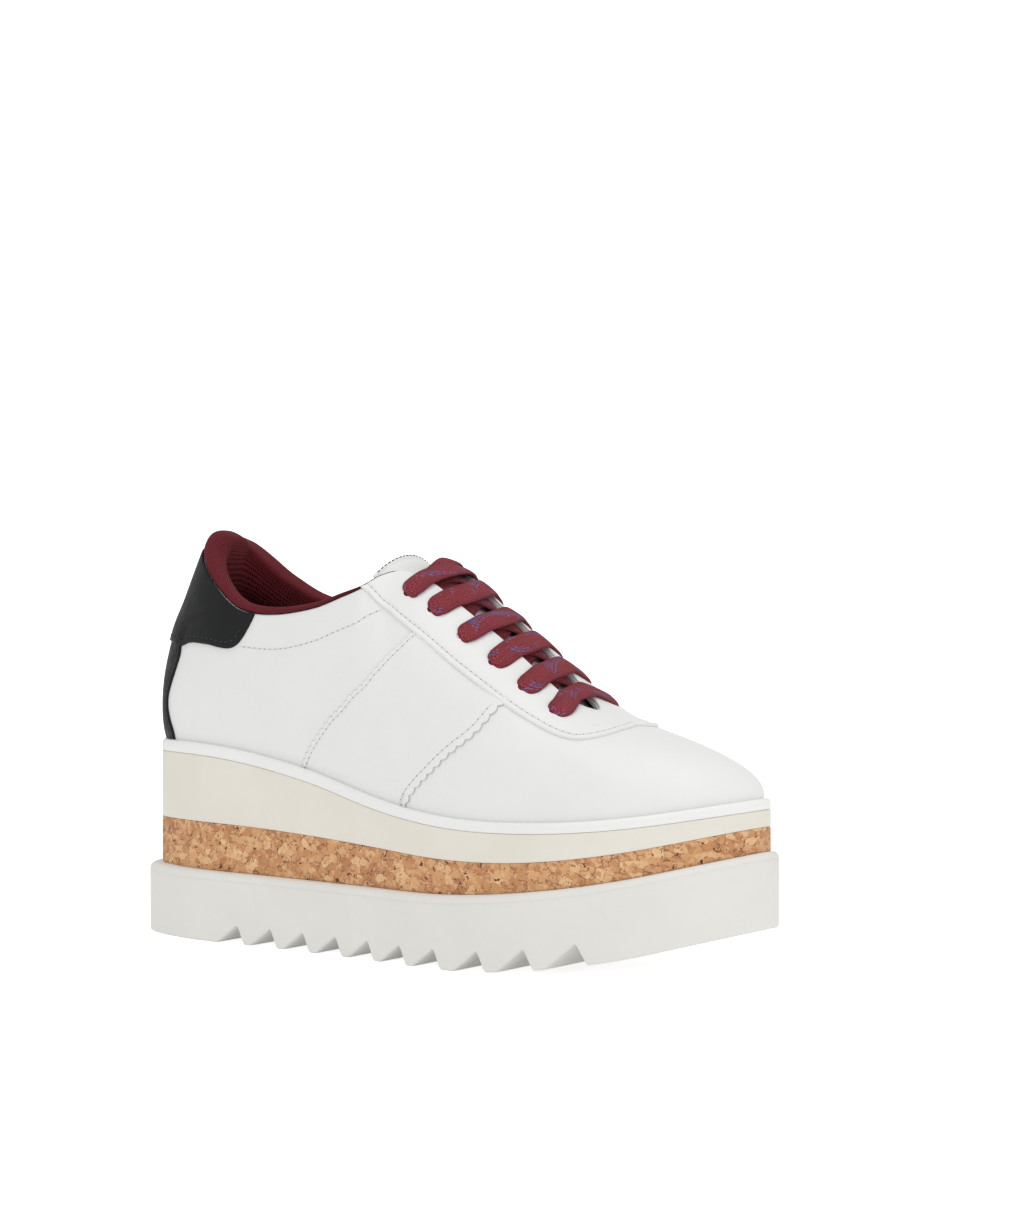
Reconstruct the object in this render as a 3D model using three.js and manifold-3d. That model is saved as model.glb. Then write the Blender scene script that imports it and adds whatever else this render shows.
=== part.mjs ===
// Platform sneaker, right shoe. Millimetres, +X towards the toe, +Z up, outer side of the foot at -Y.
// Tables are measured from the back of the heel; place() moves them to the middle of the footprint.
import * as THREE from "three";
import Module from "manifold-3d";

// Driving sizes
const LENGTH = 281; // outsole, heel to toe
const BALL_WIDTH = 93.5; // outsole across the ball
const HEEL_HEIGHT = 78.6; // ground to the feather line at the heel
const BALL_HEIGHT = 57.4; // ground to the feather line at the ball
const TOE_SPRING = 18.5; // rise of the sole under the toe tip
const BALL_FLAT = 0.4; // taken off the toe spring, so the tread lies flat under the ball
const INSTEP = 92; // feather line at the ball to the top of the throat
const SIDE_SHIFT = 1.7; // outline table to the middle of the width
const WALL = 2; // leather and lining of the upper
const GAP = 0.3; // between pieces that touch
const LEATHER = 1; // overlays on the upper
const LEDGE_HEEL = 5.2; // outsole edge to the cork at the heel
const LEDGE_TOE = 3.1; // and at the toe
const FEATHER_INSET = 2.6; // rand edge to the upper
const RAND_WIDTH = 8;
const TONGUE_THICKNESS = 3.2;
const LACE_WIDTH = 8.5;
const LACE_THICKNESS = 2;
const LACE_RISE = 0.5; // arch of a lace bar over the tongue
const EYELET_RADIUS = 2.2;

// Sole outline: distance along, and half width on the outer and inner side of the foot
const OUTLINE = [
  { along: 0, outer: 0, inner: 0 },
  { along: 5.5, outer: 24, inner: 24 },
  { along: 36, outer: 36.4, inner: 34 },
  { along: 80, outer: 38.6, inner: 33.5 },
  { along: 120, outer: 41.8, inner: 36 },
  { along: 156, outer: 46.6, inner: 41.5 },
  { along: 191, outer: 48.5, inner: 45 },
  { along: 221, outer: 46, inner: 43.5 },
  { along: 249, outer: 36.2, inner: 38.5 },
  { along: 270.5, outer: 18.7, inner: 30 },
  { along: 281, outer: -5.5, inner: 5.5 },
];

// Sole layers: height of the top of each one, along the shoe. Spring is a share of TOE_SPRING.
const LEVELS = [
  { along: 0, spring: 0, outsole: 28.2, cork: 46.8, midsole: 73.8, rand: HEEL_HEIGHT },
  { along: 48, spring: 0, outsole: 28, cork: 47, midsole: 73.2, rand: 78 },
  { along: 93, spring: 0, outsole: 27.8, cork: 45.4, midsole: 66.6, rand: 71.4 },
  { along: 133, spring: 0, outsole: 27.8, cork: 43.1, midsole: 57.5, rand: 62 },
  { along: 168, spring: 0, outsole: 28.2, cork: 41.2, midsole: 53.2, rand: 57.4 },
  { along: 203, spring: 0.135, outsole: 31.3, cork: 42.3, midsole: 53.1, rand: 57.3 },
  { along: 241, spring: 0.454, outsole: 37.4, cork: 47.4, midsole: 56.2, rand: 60.4 },
  { along: 281, spring: 1, outsole: 47.3, cork: 56.5, midsole: 62.7, rand: 67.1 },
];

// Upper, one row per section from the heel to the toe, the same for both sides of the foot.
// foot: where the section stands, in rows of OUTLINE. along, outer, inner, up: the top edge, as
// shares of LENGTH, BALL_WIDTH and INSTEP. lean, rise: the pull of the curve at the foot, and
// reach, drop: its pull at the top, mm.
const SECTIONS = [
  { foot: 0.0, along: 0.084, outer: 0.0, inner: 0.0, up: 1.063, lean: 7, rise: 22, reach: 11, drop: 24 },
  { foot: 0.5, along: 0.088, outer: 0.108, inner: 0.092, up: 1.06, lean: 7, rise: 22, reach: 10, drop: 24 },
  { foot: 1.0, along: 0.104, outer: 0.196, inner: 0.158, up: 1.033, lean: 6, rise: 20, reach: 8, drop: 22 },
  { foot: 1.4, along: 0.128, outer: 0.255, inner: 0.212, up: 0.975, lean: 5, rise: 18, reach: 7, drop: 20 },
  { foot: 2.0, along: 0.163, outer: 0.293, inner: 0.255, up: 0.892, lean: 5, rise: 17, reach: 6, drop: 18 },
  { foot: 2.45, along: 0.208, outer: 0.31, inner: 0.286, up: 0.815, lean: 5, rise: 17, reach: 5, drop: 17 },
  { foot: 3.0, along: 0.267, outer: 0.317, inner: 0.3, up: 0.801, lean: 5, rise: 17, reach: 4.5, drop: 17 },
  { foot: 3.5, along: 0.338, outer: 0.321, inner: 0.306, up: 0.833, lean: 5, rise: 18, reach: 5, drop: 17 },
  { foot: 4.0, along: 0.388, outer: 0.31, inner: 0.299, up: 0.887, lean: 5, rise: 20, reach: 6, drop: 17 },
  { foot: 4.33, along: 0.418, outer: 0.297, inner: 0.289, up: 0.925, lean: 4.5, rise: 22, reach: 8, drop: 16 },
  { foot: 4.6, along: 0.434, outer: 0.241, inner: 0.235, up: 0.968, lean: 4.5, rise: 24, reach: 13, drop: 13 },
  { foot: 4.85, along: 0.454, outer: 0.182, inner: 0.166, up: 0.99, lean: 4, rise: 26, reach: 17, drop: 11.5 },
  { foot: 5.1, along: 0.48, outer: 0.166, inner: 0.143, up: 0.977, lean: 4, rise: 26, reach: 19, drop: 11 },
  { foot: 5.45, along: 0.516, outer: 0.16, inner: 0.128, up: 0.93, lean: 4, rise: 25, reach: 19, drop: 10.5 },
  { foot: 5.85, along: 0.559, outer: 0.15, inner: 0.116, up: 0.837, lean: 4, rise: 23, reach: 19, drop: 10 },
  { foot: 6.3, along: 0.607, outer: 0.139, inner: 0.105, up: 0.739, lean: 4, rise: 20, reach: 19, drop: 9.5 },
  { foot: 6.75, along: 0.648, outer: 0.128, inner: 0.096, up: 0.646, lean: 4, rise: 17, reach: 20, drop: 9 },
  { foot: 7.3, along: 0.688, outer: 0.118, inner: 0.085, up: 0.548, lean: 3.5, rise: 14, reach: 21, drop: 8.5 },
  { foot: 7.9, along: 0.716, outer: 0.1, inner: 0.068, up: 0.48, lean: 3, rise: 12.5, reach: 23, drop: 8.2 },
  { foot: 8.55, along: 0.734, outer: 0.072, inner: 0.04, up: 0.447, lean: 2.5, rise: 11.5, reach: 29, drop: 9 },
  { foot: 9.2, along: 0.743, outer: 0.042, inner: 0.006, up: 0.432, lean: 2, rise: 11, reach: 37, drop: 10 },
  { foot: 10.0, along: 0.746, outer: 0.018, inner: -0.018, up: 0.426, lean: 2, rise: 11, reach: 43, drop: 11 },
];
const COLLAR_END = 9; // section where the collar meets the facing
const THROAT_TOP = 11; // section at the top corner of the throat

// Overlays: where their lower or outer edge crosses each section, as a share of its height
const FACING = [
  { section: 9, up: 0.95 },
  { section: 9.8, up: 0.89 },
  { section: 10.6, up: 0.785 },
  { section: 11.6, up: 0.725 },
  { section: 12.6, up: 0.678 },
  { section: 14.5, up: 0.624 },
  { section: 16.2, up: 0.578 },
  { section: 17.2, up: 0.563 },
  { section: 17.8, up: 0.592 },
  { section: 18.7, up: 0.678 },
  { section: 19.9, up: 0.792 },
  { section: 20.8, up: 0.85 },
  { section: 21, up: 0.855 },
];
const HEEL_TAB = [
  { section: 0, up: 0.53 },
  { section: 2, up: 0.55 },
  { section: 2.9, up: 0.57 },
  { section: 3.4, up: 0.615 },
  { section: 4.4, up: 0.67 },
  { section: 4.8, up: 0.702 },
  { section: 5.1, up: 0.76 },
  { section: 5.45, up: 0.985 },
];
const BACK_STRIP = [
  { up: 0, section: 3.05 },
  { up: 0.14, section: 2.83 },
  { up: 0.24, section: 2.6 },
  { up: 0.33, section: 2.72 },
  { up: 0.5, section: 2.95 },
  { up: 0.6, section: 2.9 },
];

// Padded collar: thickness, height over the leather and depth down the inside, mm
const COLLAR = [
  { section: 0, thick: 9.5, high: 11, deep: 30 },
  { section: 2, thick: 9.5, high: 9, deep: 30 },
  { section: 4, thick: 8, high: 5.5, deep: 28 },
  { section: 6, thick: 6.5, high: 3.5, deep: 26 },
  { section: 7.5, thick: 4.5, high: 2.6, deep: 22 },
  { section: 9, thick: 3.4, high: 1.8, deep: 14 },
];

const STRIDE = 0.27; // share of a section for each step outside the throat
const TONGUE_FRONT = 19.3;
const TONGUE_REACH = 1.55; // how far it runs under the facing on each side
const TONGUE_END = 120; // its back edge, from the heel
const TONGUE_TOP = 155.5; // its highest point over the ground
const TONGUE_HALF = 24;
const TONGUE_LEAN = 1; // middle of the throat from the middle of the heel
const FACING_BACK = 9; // section where the facing starts
const EYELETS = 6; // on each side
const EYELET_BACK = { section: 12.12, up: 0.866 };
const EYELET_FRONT = { section: 17.33, up: 0.762 };
const UPPER_COLUMNS = 84;
const UPPER_ROWS = 8;
const SOLE_POINTS = 76;

// Sawtooth notches across the outsole
const NOTCHES = 10;
const NOTCH_FIRST = 62.6; // apex of the notch nearest the heel
const NOTCH_PITCH = 17.2;
const NOTCH_STRETCH = 3.6; // added to the pitch under the toe spring
const NOTCH_DEPTH = 7.4;
const NOTCH_BACK = 10.6; // run of the gentle flank
const NOTCH_FRONT = 3.6; // run of the steep flank

const half = OUTLINE.length - 1;
const turn = 2 * half;
const halfLoop = SECTIONS.length - 1;
const loopLength = 2 * halfLoop;

function mix(a, b, share) {
  return a + (b - a) * share;
}

// Straight reading of one column of a table at a value of another
function readTable(table, key, at, name) {
  let i = 0;
  while (i < table.length - 2 && at > table[i + 1][key]) {
    i += 1;
  }
  const share = (at - table[i][key]) / (table[i + 1][key] - table[i][key]);
  return mix(table[i][name], table[i + 1][name], Math.min(Math.max(share, 0), 1));
}

// Smooth curve through four neighbouring values, share measured from b to c
function smooth(a, b, c, d, share) {
  const s2 = share * share;
  const s3 = s2 * share;
  return 0.5 * (2 * b + (c - a) * share + (2 * a - 5 * b + 4 * c - d) * s2 + (3 * b - a - 3 * c + d) * s3);
}

// Reads a closed list at any position; value(i) gives its i-th entry for any whole i
function readAround(position, value) {
  const i = Math.floor(position);
  return smooth(value(i - 1), value(i), value(i + 1), value(i + 2), position - i);
}

function wrap(i, count) {
  return ((i % count) + count) % count;
}

// One entry of a table whose outer rows run forwards and inner rows run back
function bothSides(table, i, outerValue, innerValue) {
  const last = table.length - 1;
  const k = wrap(i, 2 * last);
  return k <= last ? outerValue(table[k]) : innerValue(table[2 * last - k]);
}

function outline(position) {
  const x = readAround(position, (i) => bothSides(OUTLINE, i, (r) => r.along, (r) => r.along));
  const y = readAround(position, (i) => bothSides(OUTLINE, i, (r) => -r.outer, (r) => r.inner));
  return new THREE.Vector3(x, y, 0);
}

function outlineNormal(position) {
  const ahead = outline(position + 0.02);
  const behind = outline(position - 0.02);
  return new THREE.Vector3(ahead.y - behind.y, behind.x - ahead.x, 0).normalize();
}

function inset(position, distance) {
  return outline(position).addScaledVector(outlineNormal(position), -distance);
}

// Edge of the layers over the outsole, set back from it by a ledge
function stepped(position, distance) {
  const edge = outline(position);
  return inset(position, distance + mix(LEDGE_HEEL, LEDGE_TOE, edge.x / LENGTH));
}

// Height of one sole layer at a distance along the shoe
function level(name, x) {
  const rows = LEVELS;
  let i = 0;
  while (i < rows.length - 2 && x > rows[i + 1].along) {
    i += 1;
  }
  const value = (k) => (name === "ground" ? rows[k].spring * TOE_SPRING : rows[k][name]);
  const slope = (k) => {
    const a = Math.max(k - 1, 0);
    const b = Math.min(k + 1, rows.length - 1);
    return (value(b) - value(a)) / (rows[b].along - rows[a].along);
  };
  const span = rows[i + 1].along - rows[i].along;
  const s = (x - rows[i].along) / span;
  const s2 = s * s;
  const s3 = s2 * s;
  const rise = (s3 - 2 * s2 + s) * slope(i) + (s3 - s2) * slope(i + 1);
  const height = value(i) * (2 * s3 - 3 * s2 + 1) + value(i + 1) * (3 * s2 - 2 * s3) + rise * span;
  return name === "ground" ? Math.max(height - BALL_FLAT, 0) : height;
}

// Outer face of the upper: loop runs round the shoe from the heel by the outer side, up from foot to top
function shell(loop, up) {
  const turns = (i) => Math.floor(i / loopLength) * turn;
  const foot = readAround(loop, (i) => {
    return turns(i) + bothSides(SECTIONS, i, (r) => r.foot, (r) => turn - r.foot);
  });
  const both = (name) => readAround(loop, (i) => bothSides(SECTIONS, i, (r) => r[name], (r) => r[name]));
  const across = readAround(loop, (i) => bothSides(SECTIONS, i, (r) => -r.outer, (r) => r.inner));
  const out = outlineNormal(foot);
  const start = stepped(foot, FEATHER_INSET);
  start.z = level("rand", start.x) + GAP;
  const end = new THREE.Vector3(both("along") * LENGTH, across * BALL_WIDTH, BALL_HEIGHT + both("up") * INSTEP);
  const low = start.clone().addScaledVector(out, both("lean"));
  low.z += both("rise");
  const high = end.clone().addScaledVector(out, both("reach"));
  high.z -= both("drop");
  const left = 1 - up;
  const point = start.clone().multiplyScalar(left * left * left);
  point.addScaledVector(low, 3 * left * left * up);
  point.addScaledVector(high, 3 * left * up * up);
  return point.addScaledVector(end, up * up * up);
}

// Direction out of the upper
function shellNormal(loop, up) {
  const step = 0.01;
  const low = Math.max(up - step, 0);
  const high = Math.min(up + step, 1);
  const along = shell(loop + 0.05, up).sub(shell(loop - 0.05, up));
  return along.cross(shell(loop, high).sub(shell(loop, low))).normalize();
}

// A point off the upper, out from its face
function offShell(loop, up, distance) {
  return shell(loop, up).addScaledVector(shellNormal(loop, up), distance);
}

function signedVolume(points, faces) {
  let volume = 0;
  for (const [a, b, c] of faces) {
    volume += points[a].dot(points[b].clone().cross(points[c]));
  }
  return volume;
}

function place(point) {
  return [point.x - LENGTH / 2, point.y + SIDE_SHIFT, point.z];
}

function geometryOf(points, triangles) {
  const faces = signedVolume(points, triangles) < 0 ? triangles.map(([a, b, c]) => [a, c, b]) : triangles;
  const geometry = new THREE.BufferGeometry();
  geometry.setAttribute("position", new THREE.Float32BufferAttribute(points.flatMap(place), 3));
  geometry.setIndex(faces.flat());
  geometry.computeVertexNormals();
  return geometry;
}

function quad(faces, a, b, c, d) {
  faces.push([a, b, c], [a, c, d]);
}

// Joins rings of equal count, and closes both ends with strips across the ring
function stack(rings) {
  const count = rings[0].length;
  const faces = [];
  for (let r = 0; r < rings.length - 1; r += 1) {
    for (let i = 0; i < count; i += 1) {
      const next = (i + 1) % count;
      quad(faces, r * count + i, r * count + next, (r + 1) * count + next, (r + 1) * count + i);
    }
  }
  const top = (rings.length - 1) * count;
  for (let i = 0; i < count / 2; i += 1) {
    const near = i;
    const nearNext = i + 1;
    const farNext = (count - i - 1) % count;
    const far = (count - i) % count;
    if (near !== far) {
      faces.push([near, farNext, far].reverse(), [near + top, farNext + top, far + top]);
    }
    if (nearNext !== farNext) {
      faces.push([near, nearNext, farNext].reverse(), [near + top, nearNext + top, farNext + top]);
    }
  }
  return geometryOf(rings.flat(), faces);
}

// Joins rings of equal count into a closed loop of them
function loopOf(rings) {
  const count = rings[0].length;
  const faces = [];
  for (let r = 0; r < rings.length; r += 1) {
    const after = ((r + 1) % rings.length) * count;
    for (let i = 0; i < count; i += 1) {
      const next = (i + 1) % count;
      quad(faces, r * count + i, r * count + next, after + next, after + i);
    }
  }
  return geometryOf(rings.flat(), faces);
}

// A bent plate between a front and a back grid of equal size
function plate(front, back) {
  const rows = front.length;
  const columns = front[0].length;
  const total = rows * columns;
  const faces = [];
  for (let r = 0; r < rows - 1; r += 1) {
    for (let c = 0; c < columns - 1; c += 1) {
      const a = r * columns + c;
      quad(faces, a, a + 1, a + columns + 1, a + columns);
      quad(faces, total + a + columns, total + a + columns + 1, total + a + 1, total + a);
    }
  }
  const edge = [];
  for (let c = 0; c < columns - 1; c += 1) {
    edge.push(c);
  }
  for (let r = 0; r < rows - 1; r += 1) {
    edge.push(r * columns + columns - 1);
  }
  for (let c = columns - 1; c > 0; c -= 1) {
    edge.push((rows - 1) * columns + c);
  }
  for (let r = rows - 1; r > 0; r -= 1) {
    edge.push(r * columns);
  }
  edge.forEach((a, i) => {
    const b = edge[(i + 1) % edge.length];
    quad(faces, b, a, total + a, total + b);
  });
  return geometryOf([...front.flat(), ...back.flat()], faces);
}

function grid(rows, columns, point) {
  const list = [];
  for (let r = 0; r <= rows; r += 1) {
    const row = [];
    for (let c = 0; c <= columns; c += 1) {
      row.push(point(r / rows, c / columns));
    }
    list.push(row);
  }
  return list;
}

function plateBetween(rows, columns, point, front, back) {
  return plate(
    grid(rows, columns, (a, b) => point(a, b, front)),
    grid(rows, columns, (a, b) => point(a, b, back)),
  );
}

const wasm = await Module();
wasm.setup();

function toManifold(geometry) {
  return new wasm.Manifold(new wasm.Mesh({
    numProp: 3,
    vertProperties: new Float32Array(geometry.attributes.position.array),
    triVerts: new Uint32Array(geometry.index.array),
  }));
}

function fromManifold(body) {
  const mesh = body.getMesh();
  const geometry = new THREE.BufferGeometry();
  geometry.setAttribute("position", new THREE.Float32BufferAttribute(Array.from(mesh.vertProperties), 3));
  geometry.setIndex(Array.from(mesh.triVerts));
  geometry.computeVertexNormals();
  return geometry;
}

// One ring round the sole at a distance in from its outline, or from the edge of the upper layers
function soleRing(distance, height, edge = stepped) {
  const ring = [];
  for (let i = 0; i < SOLE_POINTS; i += 1) {
    const point = edge((i * turn) / SOLE_POINTS, distance);
    point.z = height(point.x);
    ring.push(point);
  }
  return ring;
}

function above(name, offset) {
  return (x) => level(name, x) + offset;
}

function outsole() {
  const body = toManifold(stack([
    soleRing(1, above("ground", 0), inset),
    soleRing(0, above("ground", 1), inset),
    soleRing(0, above("outsole", -3), inset),
    soleRing(0.9, above("outsole", -0.9), inset),
    soleRing(2.9, above("outsole", 0), inset),
  ]));
  let cut = body;
  for (let i = 0; i < NOTCHES; i += 1) {
    const late = Math.max(i - 6, 0);
    const apex = NOTCH_FIRST + i * NOTCH_PITCH + late * NOTCH_STRETCH;
    const ground = level("ground", apex);
    const rise = (level("ground", apex + 5) - level("ground", apex - 5)) / 10;
    const depth = NOTCH_DEPTH + 0.3 * late;
    const back = apex - NOTCH_BACK - 0.6 * late;
    const front = apex + NOTCH_FRONT + 0.3 * late;
    const low = (x) => ground + (x - apex) * rise - 0.02;
    const profile = [
      [back - 6, low(back) - 6],
      [back, low(back)],
      [apex - 1.2, ground + depth - 0.7],
      [apex - 0.3, ground + depth],
      [apex + 0.7, ground + depth - 0.9],
      [front, low(front)],
      [front + 3, low(front) - 6],
    ];
    const ends = [-70, 70].map((y) => profile.map(([x, z]) => new THREE.Vector3(x, y, z)));
    const count = profile.length;
    const faces = [];
    for (let k = 0; k < count; k += 1) {
      const next = (k + 1) % count;
      quad(faces, k, next, next + count, k + count);
    }
    for (let k = 1; k < count - 1; k += 1) {
      faces.push([0, k + 1, k], [count, count + k, count + k + 1]);
    }
    cut = cut.subtract(toManifold(geometryOf(ends.flat(), faces)));
  }
  return fromManifold(cut);
}

function corkLayer() {
  return stack([soleRing(0, above("outsole", GAP)), soleRing(0, above("cork", 0))]);
}

function midsole() {
  return stack([
    soleRing(0, above("cork", GAP)),
    soleRing(0, above("midsole", -0.8)),
    soleRing(0.8, above("midsole", 0)),
  ]);
}

function rand() {
  return loopOf([
    soleRing(0.6, above("midsole", GAP)),
    soleRing(0, above("midsole", 1.4)),
    soleRing(0, above("rand", -1.4)),
    soleRing(0.5, above("rand", -0.3)),
    soleRing(1.6, above("rand", 0)),
    soleRing(RAND_WIDTH, above("rand", 0)),
    soleRing(RAND_WIDTH, above("midsole", GAP)),
  ]);
}

function insole() {
  const inner = RAND_WIDTH + GAP;
  const brim = FEATHER_INSET + WALL + 0.7;
  return stack([
    soleRing(inner, above("midsole", GAP)),
    soleRing(inner, above("rand", GAP)),
    soleRing(brim, above("rand", GAP)),
    soleRing(brim, above("rand", 2.4)),
    soleRing(brim + 1, above("rand", 3)),
  ]);
}

// Section number round the shoe, closer together where the sections are
function columnLoop(i) {
  return (i * loopLength) / UPPER_COLUMNS;
}

function upper() {
  const rows = [];
  const ring = (up, distance) => {
    const list = [];
    for (let i = 0; i < UPPER_COLUMNS; i += 1) {
      list.push(offShell(columnLoop(i), up, distance));
    }
    return list;
  };
  for (let i = 0; i <= UPPER_ROWS; i += 1) {
    rows.push(ring(i / UPPER_ROWS, 0));
  }
  for (let i = UPPER_ROWS; i >= 0; i -= 1) {
    rows.push(ring(i / UPPER_ROWS, -WALL));
  }
  let body = toManifold(loopOf(rows));
  for (const hole of eyelets()) {
    body = body.subtract(hole);
  }
  return fromManifold(body);
}

// Share of a section's height at a distance below its top edge
function shareBelowTop(loop, distance) {
  let share = 1;
  let covered = 0;
  let last = shell(loop, 1);
  while (covered < distance && share > 0.02) {
    share -= 0.01;
    const next = shell(loop, share);
    covered += next.distanceTo(last);
    last = next;
  }
  return share;
}

function eyeletSpots() {
  const spots = [];
  for (let i = 0; i < EYELETS; i += 1) {
    const share = i / (EYELETS - 1);
    const loop = mix(EYELET_BACK.section, EYELET_FRONT.section, share);
    const up = mix(EYELET_BACK.up, EYELET_FRONT.up, share);
    spots.push({ loop, up }, { loop: loopLength - loop, up });
  }
  return spots;
}

function eyelets() {
  return eyeletSpots().map(({ loop, up }) => {
    const out = shellNormal(loop, up);
    const spot = shell(loop, up);
    const aside = new THREE.Vector3(1, 0, 0).cross(out).normalize();
    const ahead = out.clone().cross(aside);
    const ring = (distance) => {
      const list = [];
      for (let k = 0; k < 8; k += 1) {
        const turned = (k * Math.PI) / 4;
        const point = spot.clone().addScaledVector(out, distance);
        point.addScaledVector(aside, EYELET_RADIUS * Math.cos(turned));
        list.push(point.addScaledVector(ahead, EYELET_RADIUS * Math.sin(turned)));
      }
      return list;
    };
    return toManifold(stack([ring(-6), ring(5)]));
  });
}

// Crosses the throat from the outer side to the inner one. Between -1 and 1 it bridges the gap,
// and beyond that it runs down the upper, STRIDE of a section for each step.
function across(section, step) {
  const side = step < 0 ? section : loopLength - section;
  if (Math.abs(step) > 1) {
    return shell(side, 1 - (Math.abs(step) - 1) * STRIDE);
  }
  const left = shell(section, 1);
  const right = shell(loopLength - section, 1);
  const pull = left.distanceTo(right) * 0.22;
  const leftWay = left.clone().sub(shell(section, 0.98)).setLength(pull).add(left);
  const rightWay = right.clone().sub(shell(loopLength - section, 0.98)).setLength(pull).add(right);
  const b = (step + 1) / 2;
  const a = 1 - b;
  const point = left.multiplyScalar(a * a * a).addScaledVector(leftWay, 3 * a * a * b);
  return point.addScaledVector(rightWay, 3 * a * b * b).addScaledVector(right, b * b * b);
}

function offAcross(section, step, distance) {
  const ahead = across(section + 0.05, step).sub(across(section - 0.05, step));
  const over = across(section, step + 0.02).sub(across(section, step - 0.02));
  return across(section, step).addScaledVector(ahead.cross(over).normalize(), distance);
}

// Tongue: follows the underside of the upper, and stands out behind it in an arch
function tongue() {
  return plateBetween(22, 12, (a, b, distance) => {
    const step = mix(-TONGUE_REACH, TONGUE_REACH, b);
    const out = Math.max(a - 0.7, 0) / 0.3;
    const section = mix(TONGUE_FRONT, THROAT_TOP + 0.3, Math.min(a / 0.7, 1));
    const point = offAcross(section, step, distance);
    const wide = Math.abs(point.y + TONGUE_LEAN) / TONGUE_HALF;
    const corner = Math.max(wide - 0.85, 0) * TONGUE_HALF;
    const endX = TONGUE_END - 3.5 * wide * wide + 1.6 * corner;
    const endZ = TONGUE_TOP - 11 * wide * wide - 0.8 * corner + distance + WALL + GAP;
    point.x = mix(point.x, endX, out);
    point.z = mix(point.z, endZ, out * out);
    return point;
  }, -WALL - GAP, -WALL - GAP - TONGUE_THICKNESS);
}

function facing() {
  const body = plateBetween(48, 4, (a, b, distance) => {
    const loop = mix(FACING_BACK, loopLength - FACING_BACK, a);
    const row = Math.min(loop, loopLength - loop);
    return offShell(loop, mix(readTable(FACING, "section", row, "up"), 0.995, b), distance);
  }, GAP + LEATHER + 0.1, GAP + 0.1);
  let cut = toManifold(body);
  for (const hole of eyelets()) {
    cut = cut.subtract(hole);
  }
  return fromManifold(cut);
}

function heelTabEdge(loop) {
  return readTable(HEEL_TAB, "section", Math.abs(loop), "up");
}

function heelTab() {
  const end = HEEL_TAB[HEEL_TAB.length - 1].section;
  return plateBetween(22, 5, (a, b, distance) => {
    const loop = mix(-end, end, a);
    return offShell(loop, mix(heelTabEdge(loop), 0.995, b), distance);
  }, GAP + LEATHER, GAP);
}

function backStrip() {
  return plateBetween(8, 12, (a, b, distance) => {
    const wide = readTable(BACK_STRIP, "up", mix(0.01, 0.5, a), "section");
    const loop = mix(-wide, wide, b);
    return offShell(loop, mix(0.012, heelTabEdge(loop) - 0.012, a), distance);
  }, GAP + LEATHER, GAP);
}

// Padded roll round the collar: its own section at each place, measured up from the edge of the
// leather and in from its outer face
function collarLining() {
  const rings = [];
  const step = loopLength / UPPER_COLUMNS;
  for (let loop = step - COLLAR_END; loop < COLLAR_END; loop += step) {
    const row = Math.abs(loop);
    const thick = readTable(COLLAR, "section", row, "thick");
    const high = readTable(COLLAR, "section", row, "high");
    const deep = readTable(COLLAR, "section", row, "deep");
    const inside = WALL + 2 * GAP;
    const top = shell(loop, 1);
    const upward = top.clone().sub(shell(loop, 0.97)).normalize();
    const out = shellNormal(loop, 1);
    const rim = (rise, depth) => top.clone().addScaledVector(upward, rise).addScaledVector(out, -depth);
    const below = (drop, depth) => offShell(loop, shareBelowTop(loop, drop), -depth);
    rings.push([
      below(deep, inside + 0.6),
      below(deep * 0.55, inside),
      rim(GAP, inside),
      rim(GAP, 0),
      rim(high * 0.55, -0.2),
      rim(high * 0.9, thick * 0.18),
      rim(high, thick * 0.45),
      rim(high * 0.88, thick * 0.75),
      rim(high * 0.5, thick),
      rim(0.6, thick + 0.4),
      below(deep * 0.3, thick + 0.8),
      below(deep * 0.65, thick * 0.7 + 1.5),
    ]);
  }
  return stack(rings);
}

function laceBar(i) {
  const spots = eyeletSpots();
  const { loop, up } = spots[2 * i];
  const reach = 1 + (1 - up) / STRIDE;
  const length = LACE_WIDTH / 2;
  const rings = [];
  const count = 14;
  for (let k = 0; k <= count; k += 1) {
    const step = mix(-reach, reach, k / count);
    const arch = 1 - (2 * k / count - 1) ** 2;
    const lift = GAP + LEATHER + GAP + LACE_RISE * arch;
    const ahead = offAcross(loop + 0.1, step, lift).sub(offAcross(loop - 0.1, step, lift)).setLength(1);
    const low = offAcross(loop, step, lift);
    const high = offAcross(loop, step, lift + LACE_THICKNESS);
    const round = (base, share) => base.clone().addScaledVector(ahead, length * share);
    rings.push([
      low.clone().lerp(high, 0.5).addScaledVector(ahead, -length),
      round(low, -0.86),
      round(low, 0),
      round(low, 0.86),
      low.clone().lerp(high, 0.5).addScaledVector(ahead, length),
      round(high, 0.86),
      round(high, 0),
      round(high, -0.86),
    ]);
  }
  return stack(rings);
}

const PAINTS = {
  outsole: [0xe1e1dd, 0.6],
  cork_layer: [0xc89162, 0.85],
  midsole: [0xe4e0d6, 0.6],
  rand: [0xecedec, 0.5],
  insole: [0x7a2430, 0.9],
  upper: [0xeaebe8, 0.45],
  facing: [0xeeefec, 0.45],
  heel_tab: [0x26272a, 0.5],
  back_strip: [0x2d2e32, 0.5],
  collar_lining: [0x691e26, 0.95],
  tongue: [0xe8e9e6, 0.5],
};

const SHAPES = {
  outsole,
  cork_layer: corkLayer,
  midsole,
  rand,
  insole,
  upper,
  facing,
  heel_tab: heelTab,
  back_strip: backStrip,
  collar_lining: collarLining,
  tongue,
};

const sneaker = new THREE.Group();
sneaker.name = "platform_sneaker";

function add(name, geometry, [color, roughness]) {
  const mesh = new THREE.Mesh(geometry, new THREE.MeshStandardMaterial({ color, roughness, metalness: 0 }));
  mesh.name = name;
  sneaker.add(mesh);
}

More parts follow.
